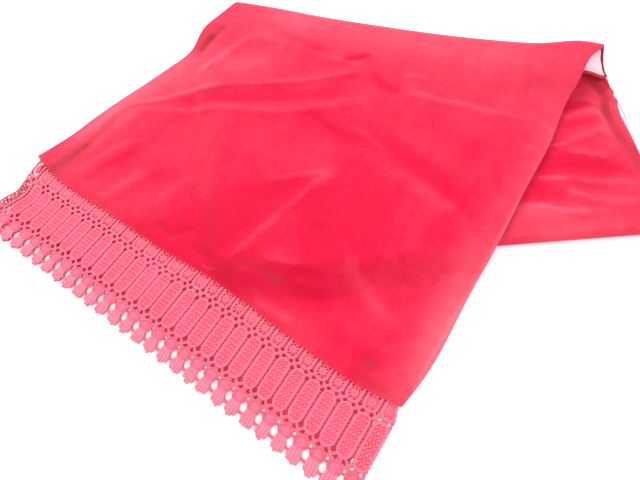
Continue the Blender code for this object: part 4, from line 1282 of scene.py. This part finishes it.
fringe_under = add_lace(
    "fringe_under", under_alongs, under_fringe_downs, under_place, UNDER_LACE_WALL, lace_thread
)
for piece, nodes in (
    (lace_right, ("top_lace",)),
    (lace_left, ("top_lace", "lace_fold")),
    (fringe_top, ("top_fringe",)),
    (lace_under, ("under_lace",)),
    (fringe_under, ("under_fringe",)),
):
    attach(piece, "root")
    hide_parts(*nodes)


# Sewing
# Red cotton thread: small stitches that hold the lace's head under the velvet's edge, and one
# loose end that has worked out of the hem beside the back's outer fold.
SEAM_ROW = 3
STITCH_STEP = 0.0040
STITCH_LENGTH = 0.0016
STITCH_HALF = 0.00022
LOOSE_THREAD_HALF = 0.00036
THREAD_SIDES = 6


def add_threads(name, paths, radius, finish):
    """Closed thin tubes along paths of points: rings of points about each path, drawn in at its ends."""
    paths = np.asarray(paths, float)
    count, steps = paths.shape[:2]
    ahead = np.gradient(paths, axis=1)
    ahead /= np.linalg.norm(ahead, axis=2, keepdims=True)
    side = np.cross(ahead, np.array((0.31, 0.17, 0.93)))
    side /= np.linalg.norm(side, axis=2, keepdims=True)
    over = np.cross(side, ahead)
    ends = np.linspace(-1.0, 1.0, steps)
    width = radius * np.sqrt(np.clip(1.02 - ends**8, 0.0, 1.0))[None, :, None, None]
    angle = np.linspace(0.0, 2.0 * math.pi, THREAD_SIDES + 1)[:-1][None, None, :, None]
    around = side[:, :, None] * np.cos(angle) + over[:, :, None] * np.sin(angle)
    rings = paths[:, :, None] + width * around
    corner = np.arange(steps * THREAD_SIDES).reshape(steps, THREAD_SIDES)
    after = np.roll(corner, -1, axis=1)
    quads = np.stack([corner[:-1], after[:-1], after[1:], corner[1:]], axis=-1).reshape(-1, 4)
    first = corner[0][::-1]
    last = corner[-1]
    caps = np.array([first[[0, 1, 2, 3]], first[[0, 3, 4, 5]], last[[0, 1, 2, 3]], last[[0, 3, 4, 5]]])
    faces = np.concatenate([quads, caps])
    shift = np.arange(count)[:, None, None] * steps * THREAD_SIDES
    return add_mesh(name, rings.reshape(-1, 3), (faces[None] + shift).reshape(-1, 4), finish)


red_thread = Finish("red_thread", Roughness=0.6, Base_Color=(0.72, 0.10, 0.14, 1.0))
seam_row = front_face[SEAM_ROW]
seam_row = seam_row[np.argsort(seam_row[:, 0])]
stitch_x = np.arange(-0.462, -0.006, STITCH_STEP)
stitches = []
for share in np.linspace(0.0, 1.0, 5):
    px = stitch_x + STITCH_LENGTH * share
    py = np.interp(px, seam_row[:, 0], seam_row[:, 1]) - 0.0006 + 0.0002 * np.sin(900.0 * stitch_x)
    pz = np.interp(px, seam_row[:, 0], seam_row[:, 2]) - 0.0001 + STITCH_HALF * math.sin(math.pi * share)
    stitches.append(np.stack([px, py, pz], axis=-1))
sewing = add_threads("seam_stitches", np.stack(stitches, axis=1), STITCH_HALF, red_thread)
t = np.linspace(0.0, 1.0, 24)[:, None]
thread_start = np.array((0.0348, 0.3975, 0.0075))
thread_knee = np.array((0.0440, 0.3925, 0.0050))
thread_end = np.array((0.0565, 0.3795, 0.0010))
loose_path = thread_start * (1 - t) ** 2 + 2 * thread_knee * t * (1 - t) + thread_end * t**2
loose = add_threads("loose_thread", loose_path[None], LOOSE_THREAD_HALF, red_thread)
for piece in (sewing, loose):
    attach(piece, "root")
